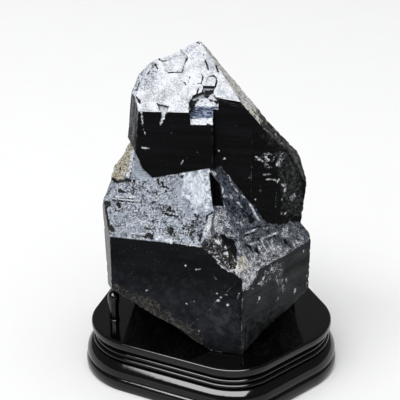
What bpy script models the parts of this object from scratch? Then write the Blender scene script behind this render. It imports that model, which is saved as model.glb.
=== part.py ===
"""A morion quartz specimen on its carved, lacquered wooden stand.

The specimen is one mass of quartz: a broad lower crystal with a sloping
termination, and a taller upper crystal that rises behind it. Its crystal faces
are flat and lie at the angles of quartz, and its breaks are rough. The stand
is a five-sided moulded plate with claws carved from the same wood.

A face is given by the azimuth and elevation of its outward normal, in degrees,
and by a point on it, in millimetres. Azimuth 0 looks along -Y, and 90 along +X.
The model itself is in metres, +Z up.
"""

import math
from typing import NamedTuple

import bmesh
import bpy
from mathutils import Matrix, Vector, noise

MM = 0.001


class Face(NamedTuple):
    azimuth: float
    elevation: float
    point: tuple


class Break(NamedTuple):
    """A rough surface near a plane: its relief, grid spacing and half-width."""
    face: Face
    seed: float
    relief: float = 1.6
    cell: float = 4.6
    reach: float = 66.0


class Arc(NamedTuple):
    """Part of a moulding's profile: an elliptical arc; 0 faces out, 90 up."""
    centre_z: float
    centre_offset: float
    radius_z: float
    radius_offset: float
    start: float
    end: float
    steps: int


class Ledge(NamedTuple):
    """A recess in a crystal face: its outline in the face's frame, and depth."""
    outline: tuple
    depth: float


# Stand: the plate's top above the floor, and the gap under the crystal.
PLATE_TOP = 25.0
SEAT_GAP = 0.3
SEAT = PLATE_TOP + SEAT_GAP
# Each side's direction, counterclockwise from +X, its distance from the middle
# of the plate, and the radius of the corner after it.
STAND_SIDES = (
    (-116.3, 54.7, 25.0),
    (-47.9, 58.7, 35.0),
    (19.1, 55.0, 28.0),
    (92.0, 56.0, 28.0),
    (164.4, 57.2, 32.0),
)
CORNER_STEPS = 8
# The side's profile from the plate's top to the floor: arcs, and points given
# as (height, offset from the sides above).
STAND_PROFILE = (
    # the plate's rounded edge, and the groove under it
    Arc(22.8, -2.2, 2.2, 2.2, 90.0, -75.0, 6), (20.3, -3.0), (18.9, -3.1),
    # two beads
    Arc(17.5, -2.7, 1.05, 1.1, 80.0, -80.0, 4), Arc(15.2, -1.9, 1.1, 1.2, 80.0, -80.0, 4),
    (13.9, -1.2),
    # the swelling body
    Arc(7.3, -0.7, 6.5, 3.3, 86.0, 0.0, 7), (6.8, 1.3),
    # the foot
    Arc(3.3, 1.3, 3.3, 1.9, 84.0, 0.0, 4), (0.8, 3.1), (0.0, 2.5),
)
# The claws stop this far short of the mean plane of the rough underside.
LUMP_REACH = 2.9
CLAW_WIDTH = 6.0
# A claw is this much longer along its facing than across, and is this round.
CLAW_STRETCH = 1.15
CLAW_ROUND = 14
# A claw's outline as (height, share of its width): its foot from the plate's top
# up, and its head from the claw's top down.
CLAW_FOOT = ((-1.5, 0.95), (0.7, 0.93), (1.2, 0.78))
CLAW_HEAD = ((-9.0, 0.78), (-6.0, 0.94), (-3.6, 1.0), (-1.7, 0.84), (-0.5, 0.5), (0.0, 0.15))
# Plan position of each claw, and its height above the plate.
CLAWS = (
    ((-49.4, -15.8), 16.5),
    ((-31.0, 29.1), 16.0),
    ((10.4, 35.0), 15.0),
    ((40.9, 11.6), 16.0),
)

# Quartz: a termination face's normal stands this far above the horizontal, and
# prism faces lie this far apart.
TERMINATION = 38.2
TURN = 60.0

# Lower crystal: its corners, with their heights, and the faces through them.
LOWER_AZIMUTH = -14.0
FRONT_CORNER = (12.8, -49.6, SEAT)
SHOULDER = (-20.4, -41.3, 79.5)
LEFT_SHOULDER = (-51.4, -23.3, 92.2)
RIGHT_SHOULDER = (47.0, -14.0, 71.0)
BACK_SHOULDER = (8.0, 34.0, 80.0)
BACK_LEFT_SHOULDER = (-29.0, 29.0, 88.0)
LOWER_SIDES = (
    Face(LOWER_AZIMUTH, 0.0, FRONT_CORNER),
    Face(LOWER_AZIMUTH + TURN, 0.0, FRONT_CORNER),
    Face(LOWER_AZIMUTH + 2.0 * TURN, 0.0, RIGHT_SHOULDER),
    Face(LOWER_AZIMUTH + 3.0 * TURN, 0.0, BACK_SHOULDER),
    Face(LOWER_AZIMUTH + 4.0 * TURN, 0.0, BACK_LEFT_SHOULDER),
    Face(LOWER_AZIMUTH - TURN, 0.0, LEFT_SHOULDER),
    Face(-105.0, -5.0, (-52.6, -19.0, 87.0)),
)
LOWER_TOPS = (
    Face(LOWER_AZIMUTH, TERMINATION, SHOULDER),
    Face(LOWER_AZIMUTH - TURN, TERMINATION, LEFT_SHOULDER),
    Face(-100.0, 16.0, (-46.4, -8.5, 103.5)),
    Face(LOWER_AZIMUTH + 2.0 * TURN, TERMINATION, RIGHT_SHOULDER),
    Face(LOWER_AZIMUTH + 3.0 * TURN, TERMINATION, BACK_SHOULDER),
    Face(LOWER_AZIMUTH + 4.0 * TURN, TERMINATION, BACK_LEFT_SHOULDER),
)
# The right half of the lower termination is a facet with a gentler broken slope
# below it, and a deep slot runs down the facet beside the front ridge.
FACET = Face(43.5, 33.5, (7.2, -22.6, 98.8))
SLOPE = Break(Face(43.5, 37.3, (28.8, -27.6, 72.0)), seed=2.0, relief=0.35)
SLOT = Ledge(((-7.6, 10.2), (-13.6, -4.8), (-7.5, -7.0), (-4.6, 3.4)), depth=8.0)
# The underside rises from the front corner towards both sides.
LEFT_UNDERSIDE = Face(-54.0, -50.0, (-25.5, -40.0, 40.0))
RIGHT_UNDERSIDE = Face(66.0, -44.5, (14.0, -48.4, 26.0))
# The chipped front corner of the shoulder, the underside, and the broken back.
LOWER_BREAKS = (
    Break(Face(13.0, 31.5, (-6.1, -44.9, 79.4)), seed=3.4, relief=0.9, cell=2.4, reach=24.0),
    Break(LEFT_UNDERSIDE, seed=5.0, relief=1.3),
    Break(RIGHT_UNDERSIDE, seed=9.0, relief=0.9),
    Break(Face(186.0, 12.0, (4.0, 31.0, 66.0)), seed=14.0, relief=1.5),
)

# Upper crystal: a front block left of the seam, and a right block behind it.
UPPER_AZIMUTH = -4.5
UPPER_FOOT = (-17.3, -21.1, 105.3)
UPPER_SHOULDER = (-20.9, -20.8, 135.2)
CAP = Face(UPPER_AZIMUTH, TERMINATION, UPPER_SHOULDER)
UPPER_FRONT = (
    CAP,
    Face(UPPER_AZIMUTH, 0.0, UPPER_FOOT),
    Face(UPPER_AZIMUTH - TURN, TERMINATION, (-34.8, -14.2, 142.3)),
    Face(-68.0, 5.0, (-35.4, -19.7, 127.0)),
    Face(-80.0, -31.0, (-33.2, -19.9, 110.2)),
    Face(-115.0, 5.0, (-39.5, -9.0, 128.0)),
    Face(88.0, 0.0, (-0.8, -22.0, 120.0)),
    Face(180.0, 0.0, (0.0, 26.0, 100.0)),
    Face(0.0, -90.0, (0.0, 0.0, 60.0)),
)
UPPER_RIGHT = (
    CAP,
    Face(-10.0, 0.0, (-0.6, -17.6, 120.0)),
    Face(22.0, 0.0, (17.4, -20.7, 121.8)),
    Face(97.0, -6.0, (43.6, -10.0, 90.0)),
    Face(78.0, 25.0, (38.6, -11.5, 107.0)),
    Face(106.0, 0.0, (46.0, -14.0, 60.0)),
    Face(-90.0, 0.0, (-30.0, 0.0, 120.0)),
    Face(180.0, 0.0, (0.0, 28.0, 100.0)),
    Face(0.0, -90.0, (0.0, 0.0, 50.0)),
)
# The long break down the upper crystal's right, and the broken back.
UPPER_BREAKS = (
    Break(Face(85.4, 40.2, (14.8, -12.8, 136.7)), seed=21.0, relief=0.8, cell=4.0),
    Break(Face(-160.0, 23.0, (-12.8, -1.1, 161.0)), seed=26.6, relief=1.1),
    Break(Face(140.0, 27.0, (-7.8, 2.5, 162.7)), seed=29.0, relief=1.2),
    Break(Face(-128.0, 8.0, (-36.0, 6.0, 120.0)), seed=33.0, relief=1.5),
)
# In the upper termination: the step in its lower edge with a narrow head, the
# small notch left of it, and low growth ledges.
CAP_LEDGES = (
    Ledge(((10.5, -8.0), (9.2, 3.2), (10.5, 8.0), (15.2, 10.4), (15.0, 13.2), (20.4, 13.2),
           (20.0, 9.6), (22.4, 6.0), (22.0, -8.0)), depth=3.5),
    Ledge(((-5.1, 3.9), (0.2, 2.9), (-1.2, -0.4), (-2.8, -6.0), (-3.6, -6.0), (-3.2, -0.5)),
          depth=2.2),
    Ledge(((-5.5, 26.6), (-2.1, 20.2), (4.8, 19.7), (7.4, 27.4), (2.0, 32.0)), depth=0.7),
    Ledge(((-16.0, 4.0), (-12.0, 4.6), (-9.6, 12.0), (-8.0, 22.0), (-10.0, 28.0),
           (-20.0, 28.0)), depth=0.8),
    Ledge(((16.2, 15.4), (18.0, 13.9), (20.5, 14.4), (21.2, 16.6), (19.0, 18.6),
           (17.0, 17.6)), depth=0.6),
)

# A break's scoops and lumps: the size of each, its share of the relief, and what
# it adds to the seed.
LUMPS = ((26.0, 1.3, 0.0), (9.0, 0.6, 7.3), (4.0, 0.3, 3.1))
# How far a break's grid points stray, as a share of its spacing, and over what size.
STRAY = 0.3
STRAY_SIZE = 5.0

# Points closer than this are one point.
WELD = 0.02
# A block starts as a cube of this size, and a break or ledge removes everything
# up to this height above its face.
BLOCK = 420.0
BREAK_HEIGHT = 150.0
BREAK_FLARE = 4.0
LEDGE_HEIGHT = 6.0

QUARTZ_COLOUR = (0.02, 0.02, 0.024, 1.0)
LACQUER_COLOUR = (0.008, 0.008, 0.008, 1.0)


def clear_scene():
    for old in list(bpy.data.objects):
        bpy.data.objects.remove(old, do_unlink=True)


def direction(azimuth, elevation):
    """The unit vector for an azimuth and elevation in degrees."""
    turn = math.radians(azimuth)
    rise = math.radians(elevation)
    level = math.cos(rise)
    return Vector((math.sin(turn) * level, -math.cos(turn) * level, math.sin(rise)))


def raised(face, distance):
    """The face, moved out by a distance."""
    point = Vector(face.point) + distance * direction(face.azimuth, face.elevation)
    return Face(face.azimuth, face.elevation, tuple(point))


def face_frame(face):
    """A matrix at a face's point: +X is level, +Y up the face, +Z its normal."""
    normal = direction(face.azimuth, face.elevation)
    across = Vector((0.0, 0.0, 1.0)).cross(normal).normalized()
    turn = Matrix((across, normal.cross(across), normal)).transposed().to_4x4()
    return Matrix.Translation(Vector(face.point)) @ turn


def new_object(name, shape):
    """Links a new object made from a bmesh, which is freed."""
    mesh = bpy.data.meshes.new(name)
    bmesh.ops.recalc_face_normals(shape, faces=shape.faces)
    if shape.calc_volume(signed=True) < 0.0:
        bmesh.ops.reverse_faces(shape, faces=shape.faces)
    shape.to_mesh(mesh)
    shape.free()
    made = bpy.data.objects.new(name, mesh)
    bpy.context.scene.collection.objects.link(made)
    return made


def faceted(name, faces):
    """A convex solid bounded by faces."""
    solid = bmesh.new()
    bmesh.ops.create_cube(solid, size=BLOCK)
    for face in faces:
        everything = solid.verts[:] + solid.edges[:] + solid.faces[:]
        bmesh.ops.bisect_plane(
            solid, geom=everything, dist=1e-4, plane_co=Vector(face.point),
            plane_no=direction(face.azimuth, face.elevation), clear_outer=True)
        rim = [edge for edge in solid.edges if edge.is_boundary]
        bmesh.ops.holes_fill(solid, edges=rim, sides=0)
    return new_object(name, solid)


def weld(made):
    """Joins points closer than WELD and splits the faces into triangles."""
    shape = bmesh.new()
    shape.from_mesh(made.data)
    bmesh.ops.remove_doubles(shape, verts=shape.verts, dist=WELD)
    bmesh.ops.dissolve_degenerate(shape, edges=shape.edges, dist=WELD)
    bmesh.ops.triangulate(shape, faces=shape.faces)
    shape.to_mesh(made.data)
    shape.free()


def combine(block, tool, operation):
    """Applies one exact Boolean of tool to block, and removes tool."""
    step = block.modifiers.new("step", 'BOOLEAN')
    step.operation = operation
    step.solver = 'EXACT'
    step.object = tool
    depsgraph = bpy.context.evaluated_depsgraph_get()
    result = bpy.data.meshes.new_from_object(block.evaluated_get(depsgraph))
    block.modifiers.clear()
    block.data = result
    bpy.data.objects.remove(tool, do_unlink=True)
    weld(block)


def break_height(u, v, seed, relief):
    """The height of a broken surface at (u, v): broad scoops and small lumps."""
    height = 0.0
    for size, share, more in LUMPS:
        height += share * noise.noise(Vector((u / size, v / size, seed + more)))
    return relief * height


def fracture(block, rough):
    """Breaks off what lies outside a plane, and leaves a rough surface there."""
    slab = bmesh.new()
    count = int(2.0 * rough.reach / rough.cell)
    bmesh.ops.create_grid(slab, x_segments=count, y_segments=count, size=rough.reach)
    for vert in slab.verts:
        place = Vector((vert.co.x / STRAY_SIZE, vert.co.y / STRAY_SIZE, rough.seed))
        vert.co.x += STRAY * rough.cell * noise.noise(place)
        vert.co.y += STRAY * rough.cell * noise.noise(place + Vector((0.0, 0.0, 11.7)))
        vert.co.z = break_height(vert.co.x, vert.co.y, rough.seed, rough.relief)
    grown = bmesh.ops.extrude_face_region(slab, geom=slab.faces[:])
    for item in grown["geom"]:
        if isinstance(item, bmesh.types.BMVert):
            item.co = (BREAK_FLARE * item.co.x, BREAK_FLARE * item.co.y, BREAK_HEIGHT)
    turn = direction(rough.face.azimuth, rough.face.elevation).to_track_quat('Z', 'Y')
    slab.transform(Matrix.Translation(Vector(rough.face.point)) @ turn.to_matrix().to_4x4())
    combine(block, new_object("break", slab), 'DIFFERENCE')


def recess(block, face, ledge):
    """Cuts a ledge's outline into a face, to its depth."""
    body = bmesh.new()
    rim = [body.verts.new((u, v, -ledge.depth)) for u, v in ledge.outline]
    base = body.faces.new(rim)
    grown = bmesh.ops.extrude_face_region(body, geom=[base])
    for item in grown["geom"]:
        if isinstance(item, bmesh.types.BMVert):
            item.co.z = LEDGE_HEIGHT
    body.transform(face_frame(face))
    combine(block, new_object("recess", body), 'DIFFERENCE')


# ---------------------------------------------------------------- the crystal

def opposite(face):
    """The same plane, facing the other way."""
    return Face(face.azimuth + 180.0, -face.elevation, face.point)


def lower_crystal():
    block = faceted("lower", LOWER_SIDES + LOWER_TOPS)
    notch = faceted("notch", (opposite(FACET),))
    fracture(notch, SLOPE._replace(face=opposite(SLOPE.face)))
    combine(block, notch, 'DIFFERENCE')
    for rough in LOWER_BREAKS:
        fracture(block, rough)
    return block


def upper_crystal():
    block = faceted("upper", UPPER_FRONT)
    combine(block, faceted("right", UPPER_RIGHT), 'UNION')
    for rough in UPPER_BREAKS:
        fracture(block, rough)
    return block


def crystal():
    block = lower_crystal()
    combine(block, upper_crystal(), 'UNION')
    recess(block, FACET, SLOT)
    for ledge in CAP_LEDGES:
        recess(block, CAP, ledge)
    combine(block, faceted("floor", (Face(0.0, 90.0, (0.0, 0.0, SEAT)),)), 'DIFFERENCE')
    block.name = "crystal"
    return block


# ------------------------------------------------------------------ the stand

def arc_points(arc):
    """Points (height, offset) along an arc of the profile."""
    points = []
    for step in range(arc.steps + 1):
        angle = math.radians(arc.start + (arc.end - arc.start) * step / arc.steps)
        points.append((arc.centre_z + arc.radius_z * math.sin(angle),
                       arc.centre_offset + arc.radius_offset * math.cos(angle)))
    return points


def stand_profile():
    """The side's profile as points (height, offset), from the top down."""
    points = []
    for item in STAND_PROFILE:
        points += arc_points(item) if isinstance(item, Arc) else [item]
    return points


def side_crossing(first, second, offset):
    """Where two sides meet, when both stand further out by offset."""
    angle_a, distance_a = first[:2]
    angle_b, distance_b = second[:2]
    ax, ay = math.cos(math.radians(angle_a)), math.sin(math.radians(angle_a))
    bx, by = math.cos(math.radians(angle_b)), math.sin(math.radians(angle_b))
    reach_a, reach_b = distance_a + offset, distance_b + offset
    scale = ax * by - ay * bx
    return Vector(((reach_a * by - reach_b * ay) / scale, (ax * reach_b - bx * reach_a) / scale))


def stand_outline(offset):
    """The rounded five-sided plan, counterclockwise, moved out by offset."""
    points = []
    count = len(STAND_SIDES)
    for index in range(count):
        first = STAND_SIDES[index]
        second = STAND_SIDES[(index + 1) % count]
        start, _, corner = first
        middle = side_crossing(first, second, -corner)
        turn = (second[0] - start) % 360.0
        radius = corner + offset
        for step in range(CORNER_STEPS + 1):
            angle = math.radians(start + turn * step / CORNER_STEPS)
            points.append(middle + radius * Vector((math.cos(angle), math.sin(angle))))
    return points


def stand_body():
    body = bmesh.new()
    rings = []
    for height, offset in stand_profile():
        rings.append([body.verts.new((x, y, height)) for x, y in stand_outline(offset)])
    for above, below in zip(rings, rings[1:]):
        for index in range(len(above)):
            after = (index + 1) % len(above)
            body.faces.new((above[index], below[index], below[after], above[after]))
    body.faces.new(rings[0])
    body.faces.new(reversed(rings[-1]))
    return new_object("stand", body)


def claw(place, height):
    """A carved claw: a waisted post with a rounded head, sunk in the plate."""
    profile = list(CLAW_FOOT) + [(height + below, share) for below, share in CLAW_HEAD]
    post = bmesh.new()
    rings = []
    for rise, share in profile:
        radius = share * CLAW_WIDTH / 2.0
        ring = []
        for step in range(CLAW_ROUND):
            angle = 2.0 * math.pi * step / CLAW_ROUND
            ring.append(post.verts.new((radius * math.cos(angle),
                                        CLAW_STRETCH * radius * math.sin(angle),
                                        PLATE_TOP + rise)))
        rings.append(ring)
    for below, above in zip(rings, rings[1:]):
        for index in range(CLAW_ROUND):
            after = (index + 1) % CLAW_ROUND
            post.faces.new((below[index], below[after], above[after], above[index]))
    post.faces.new(reversed(rings[0]))
    post.faces.new(rings[-1])
    facing = math.atan2(place[1], place[0])
    post.transform(Matrix.Translation(Vector((*place, 0.0))) @ Matrix.Rotation(facing, 4, 'Z'))
    return new_object("claw", post)


def seat_cutter():
    """The lower crystal's outline, a gap larger, which trims the claws."""
    faces = [raised(face, SEAT_GAP) for face in LOWER_SIDES]
    faces += [raised(face, LUMP_REACH) for face in (LEFT_UNDERSIDE, RIGHT_UNDERSIDE)]
    faces.append(Face(0.0, -90.0, (0.0, 0.0, PLATE_TOP + 0.1)))
    return faceted("seat", faces)


def stand():
    body = stand_body()
    for place, height in CLAWS:
        post = claw(place, height)
        combine(post, seat_cutter(), 'DIFFERENCE')
        combine(body, post, 'UNION')
    return body


# ------------------------------------------------------------------ finishing

def to_world(made, middle):
    """Turns millimetres into metres, with the stand's middle at the origin."""
    made.data.transform(Matrix.Scale(MM, 4) @ Matrix.Translation((-middle.x, -middle.y, 0.0)))


def stand_middle():
    """The middle of the box around the stand's widest ring."""
    widest = max(offset for height, offset in stand_profile())
    ring = stand_outline(widest)
    xs = [point.x for point in ring]
    ys = [point.y for point in ring]
    return Vector(((min(xs) + max(xs)) / 2.0, (min(ys) + max(ys)) / 2.0))


def finish(made, colour, roughness, coat):
    material = bpy.data.materials.new(made.name)
    material.use_nodes = True
    shader = material.node_tree.nodes["Principled BSDF"]
    shader.inputs["Base Color"].default_value = colour
    shader.inputs["Roughness"].default_value = roughness
    shader.inputs["Metallic"].default_value = 0.0
    shader.inputs["Coat Weight"].default_value = coat
    made.data.materials.clear()
    made.data.materials.append(material)


def build():
    clear_scene()
    middle = stand_middle()
    specimen = crystal()
    base = stand()
    for made in (specimen, base):
        to_world(made, middle)
    finish(specimen, QUARTZ_COLOUR, 0.25, 0.0)
    finish(base, LACQUER_COLOUR, 0.12, 1.0)


build()
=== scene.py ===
"""The looks of a morion quartz specimen on its lacquered wooden stand.

The crystal is remeshed finely from its CAD solid, face by face, and given the
growth steps, pits, cracks, chips and broken relief of the real thing. Marks
listed one by one are carved into it and painted as point colours, which the
materials read. The stand is drawn again with smooth mouldings. Sizes are in
millimetres unless a name says otherwise; the frame itself is in metres.
"""

import math
from typing import NamedTuple

import bmesh
import bpy
import numpy as np
from mathutils import Matrix, Vector, geometry, kdtree, noise


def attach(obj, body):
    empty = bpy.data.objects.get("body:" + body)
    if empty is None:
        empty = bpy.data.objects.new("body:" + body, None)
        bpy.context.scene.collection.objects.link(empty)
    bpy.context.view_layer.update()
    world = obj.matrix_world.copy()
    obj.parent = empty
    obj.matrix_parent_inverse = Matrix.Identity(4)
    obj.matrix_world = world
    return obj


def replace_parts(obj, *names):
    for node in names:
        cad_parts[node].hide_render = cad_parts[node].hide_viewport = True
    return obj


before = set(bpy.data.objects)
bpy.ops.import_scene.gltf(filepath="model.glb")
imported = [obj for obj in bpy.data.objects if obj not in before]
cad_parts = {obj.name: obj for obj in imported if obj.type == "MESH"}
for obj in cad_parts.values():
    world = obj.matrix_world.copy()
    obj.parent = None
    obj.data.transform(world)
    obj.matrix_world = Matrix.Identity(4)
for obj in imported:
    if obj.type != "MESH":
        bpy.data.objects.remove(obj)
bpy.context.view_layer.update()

MM = 0.001

# From the middle of the plate, where the design is measured from, to the
# frame's origin.
SHIFT = Vector((0.797, 2.912, 0.0))

# The camera, and the size of the picture that pixel places are given in.
CAMERA_PLACE = Vector((-5.8, -449.9, 275.4))
CAMERA_TILT = 67.0
CAMERA_LENS = 90.0
CAMERA_SENSOR = 36.0
PICTURE = 400.0


class Surface(NamedTuple):
    """A named part of the crystal: the plane it lies in, and its kind.

    A face belongs to it when its normal is within limit degrees of the plane's,
    and its middle lies between low and high from the plane, within reach of the
    point.
    """
    kind: str
    azimuth: float
    elevation: float
    point: tuple
    limit: float = 1.5
    low: float = -0.3
    high: float = 0.3
    reach: float = 100.0


# A quartz termination's normal stands this far above the horizontal.
TERMINATION = 38.2
CAP_POINT = (-20.9, -20.8, 135.2)
SURFACES = {
    "cap": Surface("cap", -4.5, TERMINATION, CAP_POINT, low=-1.0),
    "tab": Surface("tab", -4.5, TERMINATION, CAP_POINT, low=-3.8, high=-1.2),
    "cap left": Surface("cap", -64.0, TERMINATION, (-32.9, -5.6, 146.7), limit=4.0, low=-6.0,
                        high=6.0),
    "slope": Surface("slope", -14.0, TERMINATION, (-20.4, -41.3, 79.5)),
    "left slope": Surface("slope", -74.0, TERMINATION, (-51.4, -23.3, 92.2)),
    "left flank": Surface("flank", -100.0, 16.0, (-46.4, -8.5, 103.5)),
    "facet": Surface("slate", 43.5, 33.5, (7.2, -22.6, 98.8)),
    "fan": Surface("fan", 43.5, 37.3, (28.8, -27.6, 72.0), limit=25.0, low=-1.5, high=1.5),
    "chip": Surface("chip", 13.0, 31.5, (-6.1, -44.9, 79.4), limit=48.0, low=-2.2, high=2.2,
                    reach=25.0),
    "front": Surface("front", -14.0, 0.0, (12.8, -49.6, 25.3)),
    "right": Surface("right", 46.0, 0.0, (12.8, -49.6, 25.3)),
    "left sliver": Surface("sliver", -74.0, 0.0, (-49.0, -26.0, 66.0)),
    "upper front": Surface("dark", -4.5, 0.0, (-17.3, -21.1, 105.3)),
    "upper middle": Surface("dark", -10.0, 0.0, (-0.6, -17.6, 120.0)),
    "upper right": Surface("dark", 22.0, 0.0, (17.4, -20.7, 121.8)),
    "upper left": Surface("stripe", -68.0, 5.0, (-35.4, -19.7, 127.0)),
    "upper side": Surface("stripe", -115.0, 5.0, (-39.5, -9.0, 128.0)),
    "upper edge": Surface("edge", 97.0, -6.0, (43.6, -10.0, 90.0)),
    "upper crest": Surface("edge", 78.0, 25.0, (38.6, -11.5, 107.0)),
    "long break": Surface("grain", 85.4, 40.2, (14.8, -12.8, 136.7), limit=40.0, low=-3.0,
                          high=3.0),
}
# Walls of the recesses stand square to the cap or the facet, within this depth
# and in front of this y. The slot's floor lies between two depths in the facet.
WALLS_OF = (("cap", 3.8), ("facet", 8.3))
WALLS_END = 5.0
SLOT_FLOOR = (4.0, 9.0)
# A face in no named surface is a fracture when it is smaller than this, else a
# plain side.
FLAT_AREA = 26.0
# CAD points closer than this are one, and faces within this angle are one face.
WELD = 0.004
FLAT_ANGLE = 0.4
# Edges sharper than these are drawn sharp.
QUARTZ_SHARP = 28.0
STAND_SHARP = 35.0

# Kinds of surface, in the order of the crystal's material slots, with the
# spacing of the fine mesh on each. A face whose normal's y is past BACKWARDS
# has the back's spacing at least.
SPACING = {"cap": 0.34, "tab": 0.34, "slope": 0.37, "flank": 0.45, "slate": 0.42, "fan": 0.42,
           "chip": 0.42, "front": 0.62, "right": 0.5, "sliver": 0.6, "dark": 0.52, "stripe": 0.6,
           "edge": 0.6, "grain": 0.6, "rough": 0.8, "wall": 0.5, "back": 1.3}
KINDS = tuple(SPACING)
BACKWARDS = 0.3
# The fine mesh's points are moved at random by this share of their spacing, and
# stay this share of it clear of a face's border.
JITTER = 0.35
CLEARANCE = 0.45


class Mark(NamedTuple):
    """A stroke of a tone along a line of picture pixels, or a filled outline.

    Width and depth are in millimetres; a depth below zero is carved in. The
    strength is from 0 to 1.
    """
    tone: str
    width: float
    strength: float
    line: tuple
    depth: float = 0.0
    filled: bool = False


def pale(width, strength, *line):
    """A pale stroke of frosting or bruising; on the upper crystal, a painted glint."""
    return Mark("pale", width, strength, line)


def crack(width, strength, *line):
    """A dark crack, a third as deep as it is wide."""
    return Mark("dark", width, strength, line, -width / 3.0)


def patch(tone, soft, strength, *line, depth=0.0):
    """A filled outline, whose rim is soft over this width."""
    return Mark(tone, soft, strength, line, depth, filled=True)


def each(kind, width, strength, *places):
    """The same small mark at each of some places."""
    return [kind(width, strength, place) for place in places]


TONES = ("dark", "pale", "tan", "smooth")
# Lines fade over this width at their rims.
LINE_SOFT = 0.30

# The hollows round the neck of the step, painted black as their shade, which lie
# on the cap and on the step's own floor.
NECK = (
    patch("dark", 0.5, 1, (203.8, 86.9), (214.3, 86.9), (215.6, 84), (216.2, 86), (213.6, 90),
        (209.3, 92.4), (207.3, 95.4), (204.7, 95), (202.5, 92.3), (201.5, 89.7), (204.7, 88.5),
        depth=-0.5),
    patch("dark", 0.5, 1, (192.2, 97.6), (197.6, 97.2), (196.2, 99.9), (193, 105.1), (190.8, 110.5),
        (187.6, 108.6), (190.6, 105), (186, 104.2), (188.1, 103.1), depth=-0.5),
    patch("dark", 0.5, 1, (209.4, 96.6), (214.3, 97.2), (220.9, 98.6), (217.5, 101.4), (216.6, 103.5),
        (214.3, 99.5), (210, 98.1), depth=-0.5),
)
# Black painted as shade under the upper crystal's overhang, and the rim of the
# chipped corner, which lie on the facet and on the fan.
CORNER = (
    # painted shade under the upper crystal's overhang
    patch("dark", 1, 1, (249, 194), (256, 208), (262.5, 219), (267, 224.4), (280, 224.8), (290.4, 221.6),
        (300, 222), (300, 206), (260, 190)),
    patch("dark", 1, 0.9, (216.4, 231.8), (225, 235), (233.5, 240.1), (236.8, 250.8), (236, 262),
        (215, 256), (202.5, 249.8), (207.5, 243.8)),
    pale(1, 1, (220, 238.4), (222.4, 241)), pale(0.8, 1, (226, 239)),
)
# What is on each surface, as points of the photograph in pixels.
MARKS = {}
MARKS["cap"] = (
    # the outlined plateau near the left shoulder, and cracks round it
    crack(0.65, 1, (159.4, 59.1), (161.4, 55.9)), crack(0.43, 0.8, (160.7, 60.4), (165.8, 59.8)),
    crack(0.58, 1, (155, 64.2), (157.5, 68.1)),
    crack(0.3, 0.5, (162, 65.5), (165.2, 70.6), (167.7, 71.6)),
    crack(0.36, 1, (168.4, 72.5), (181.8, 71.9)), crack(0.3, 0.6, (181.8, 71.9), (184.6, 63.6)),
    crack(0.5, 1, (184.6, 63.6), (187.2, 57.5)), crack(0.36, 0.7, (151.5, 63), (153, 66.5)),
    # pits along the top
    crack(0.65, 1, (172.5, 50.5)), crack(0.58, 1, (183, 46.2)), crack(0.5, 0.6, (186.9, 50.8)),
    crack(0.79, 1, (197, 42), (199.3, 43)),
    # cracks on the right
    crack(0.5, 1, (205.4, 60.4), (207, 64.9), (207.9, 69.3)), crack(0.36, 1, (203.5, 54.8)),
    crack(0.43, 0.8, (215.6, 65.5), (220.7, 65.2)), crack(0.43, 0.8, (216.2, 66.1), (218.1, 71.9)),
    # short strokes in the middle
    crack(0.43, 1, (189.7, 77.6)), crack(0.43, 0.8, (184.3, 82.7), (185.6, 84.6)),
    crack(0.3, 0.5, (189.6, 76.5), (188.6, 82)),
    crack(0.36, 0.8, (202.2, 74.4), (202.8, 78.3), (200.9, 84), (197.7, 82.7)),
    # the hook down to the notch
    crack(0.3, 0.7, (210.8, 76), (213.3, 75.1)),
    crack(0.5, 1, (213.3, 75.1), (215.9, 77.6), (216.8, 81.5), (215.2, 86.6)), *NECK,
    crack(0.43, 1, (209.8, 92.9), (209.8, 97)), crack(0.43, 1, (198.3, 88.5), (196.4, 96.8)),
    crack(0.3, 0.5, (201.5, 97.9), (206, 97)),
    # the notch in the lower left edge
    patch("dark", 0.5, 1, (157.2, 103.4), (159.5, 104.8), (169, 105.7), (167.8, 109.4), (165.8, 111.8),
        (162, 112), (159.6, 110.2), depth=-0.6),
    crack(0.43, 0.9, (173.6, 106.6)),
    # the greyer strip along the left edge
    patch("smooth", 1.6, 0.9, (140.9, 89.7), (145.4, 73.2), (152.4, 61), (158.7, 63.7), (156.2, 75.7),
        (150.4, 88.5)),
    crack(0.43, 1, (138, 101), (140, 103)), crack(0.58, 0.8, (136.3, 96.6), (139.4, 100.6)),
    crack(0.36, 0.7, (148, 73), (149.5, 70)), crack(0.36, 0.5, (146.6, 82.5), (145, 79)),
    crack(0.3, 0.25, (149, 87), (152, 92), (158, 97)),
    crack(0.3, 0.35, (228, 88), (226, 94), (222, 97.4)), crack(0.3, 0.35, (225, 80), (229, 86)),
    crack(0.36, 0.7, (224.5, 75.4)),
)
MARKS["cap left"] = (
    patch("smooth", 1, 0.9, (130, 104), (136, 80), (150, 54), (160, 56), (142, 104)),
    crack(0.6, 0.8, (139, 92), (142, 84)), crack(0.6, 0.8, (144, 76), (147, 68)),
    crack(0.7, 0.9, (151, 62), (156, 57)),
)
MARKS["tab"] = (
    *NECK,
    patch("smooth", 0.5, 1, (189, 104), (218, 103.6), (219, 115.4), (189, 116.4)),
    patch("dark", 0.5, 0.9, (204.6, 124.2), (205.8, 122.2), (209, 121.2), (213, 122.2), (216.4, 121),
        (216.4, 126), (204.6, 126)),
    crack(0.5, 0.6, (192, 108.5), (195, 109.6)),
)
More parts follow.
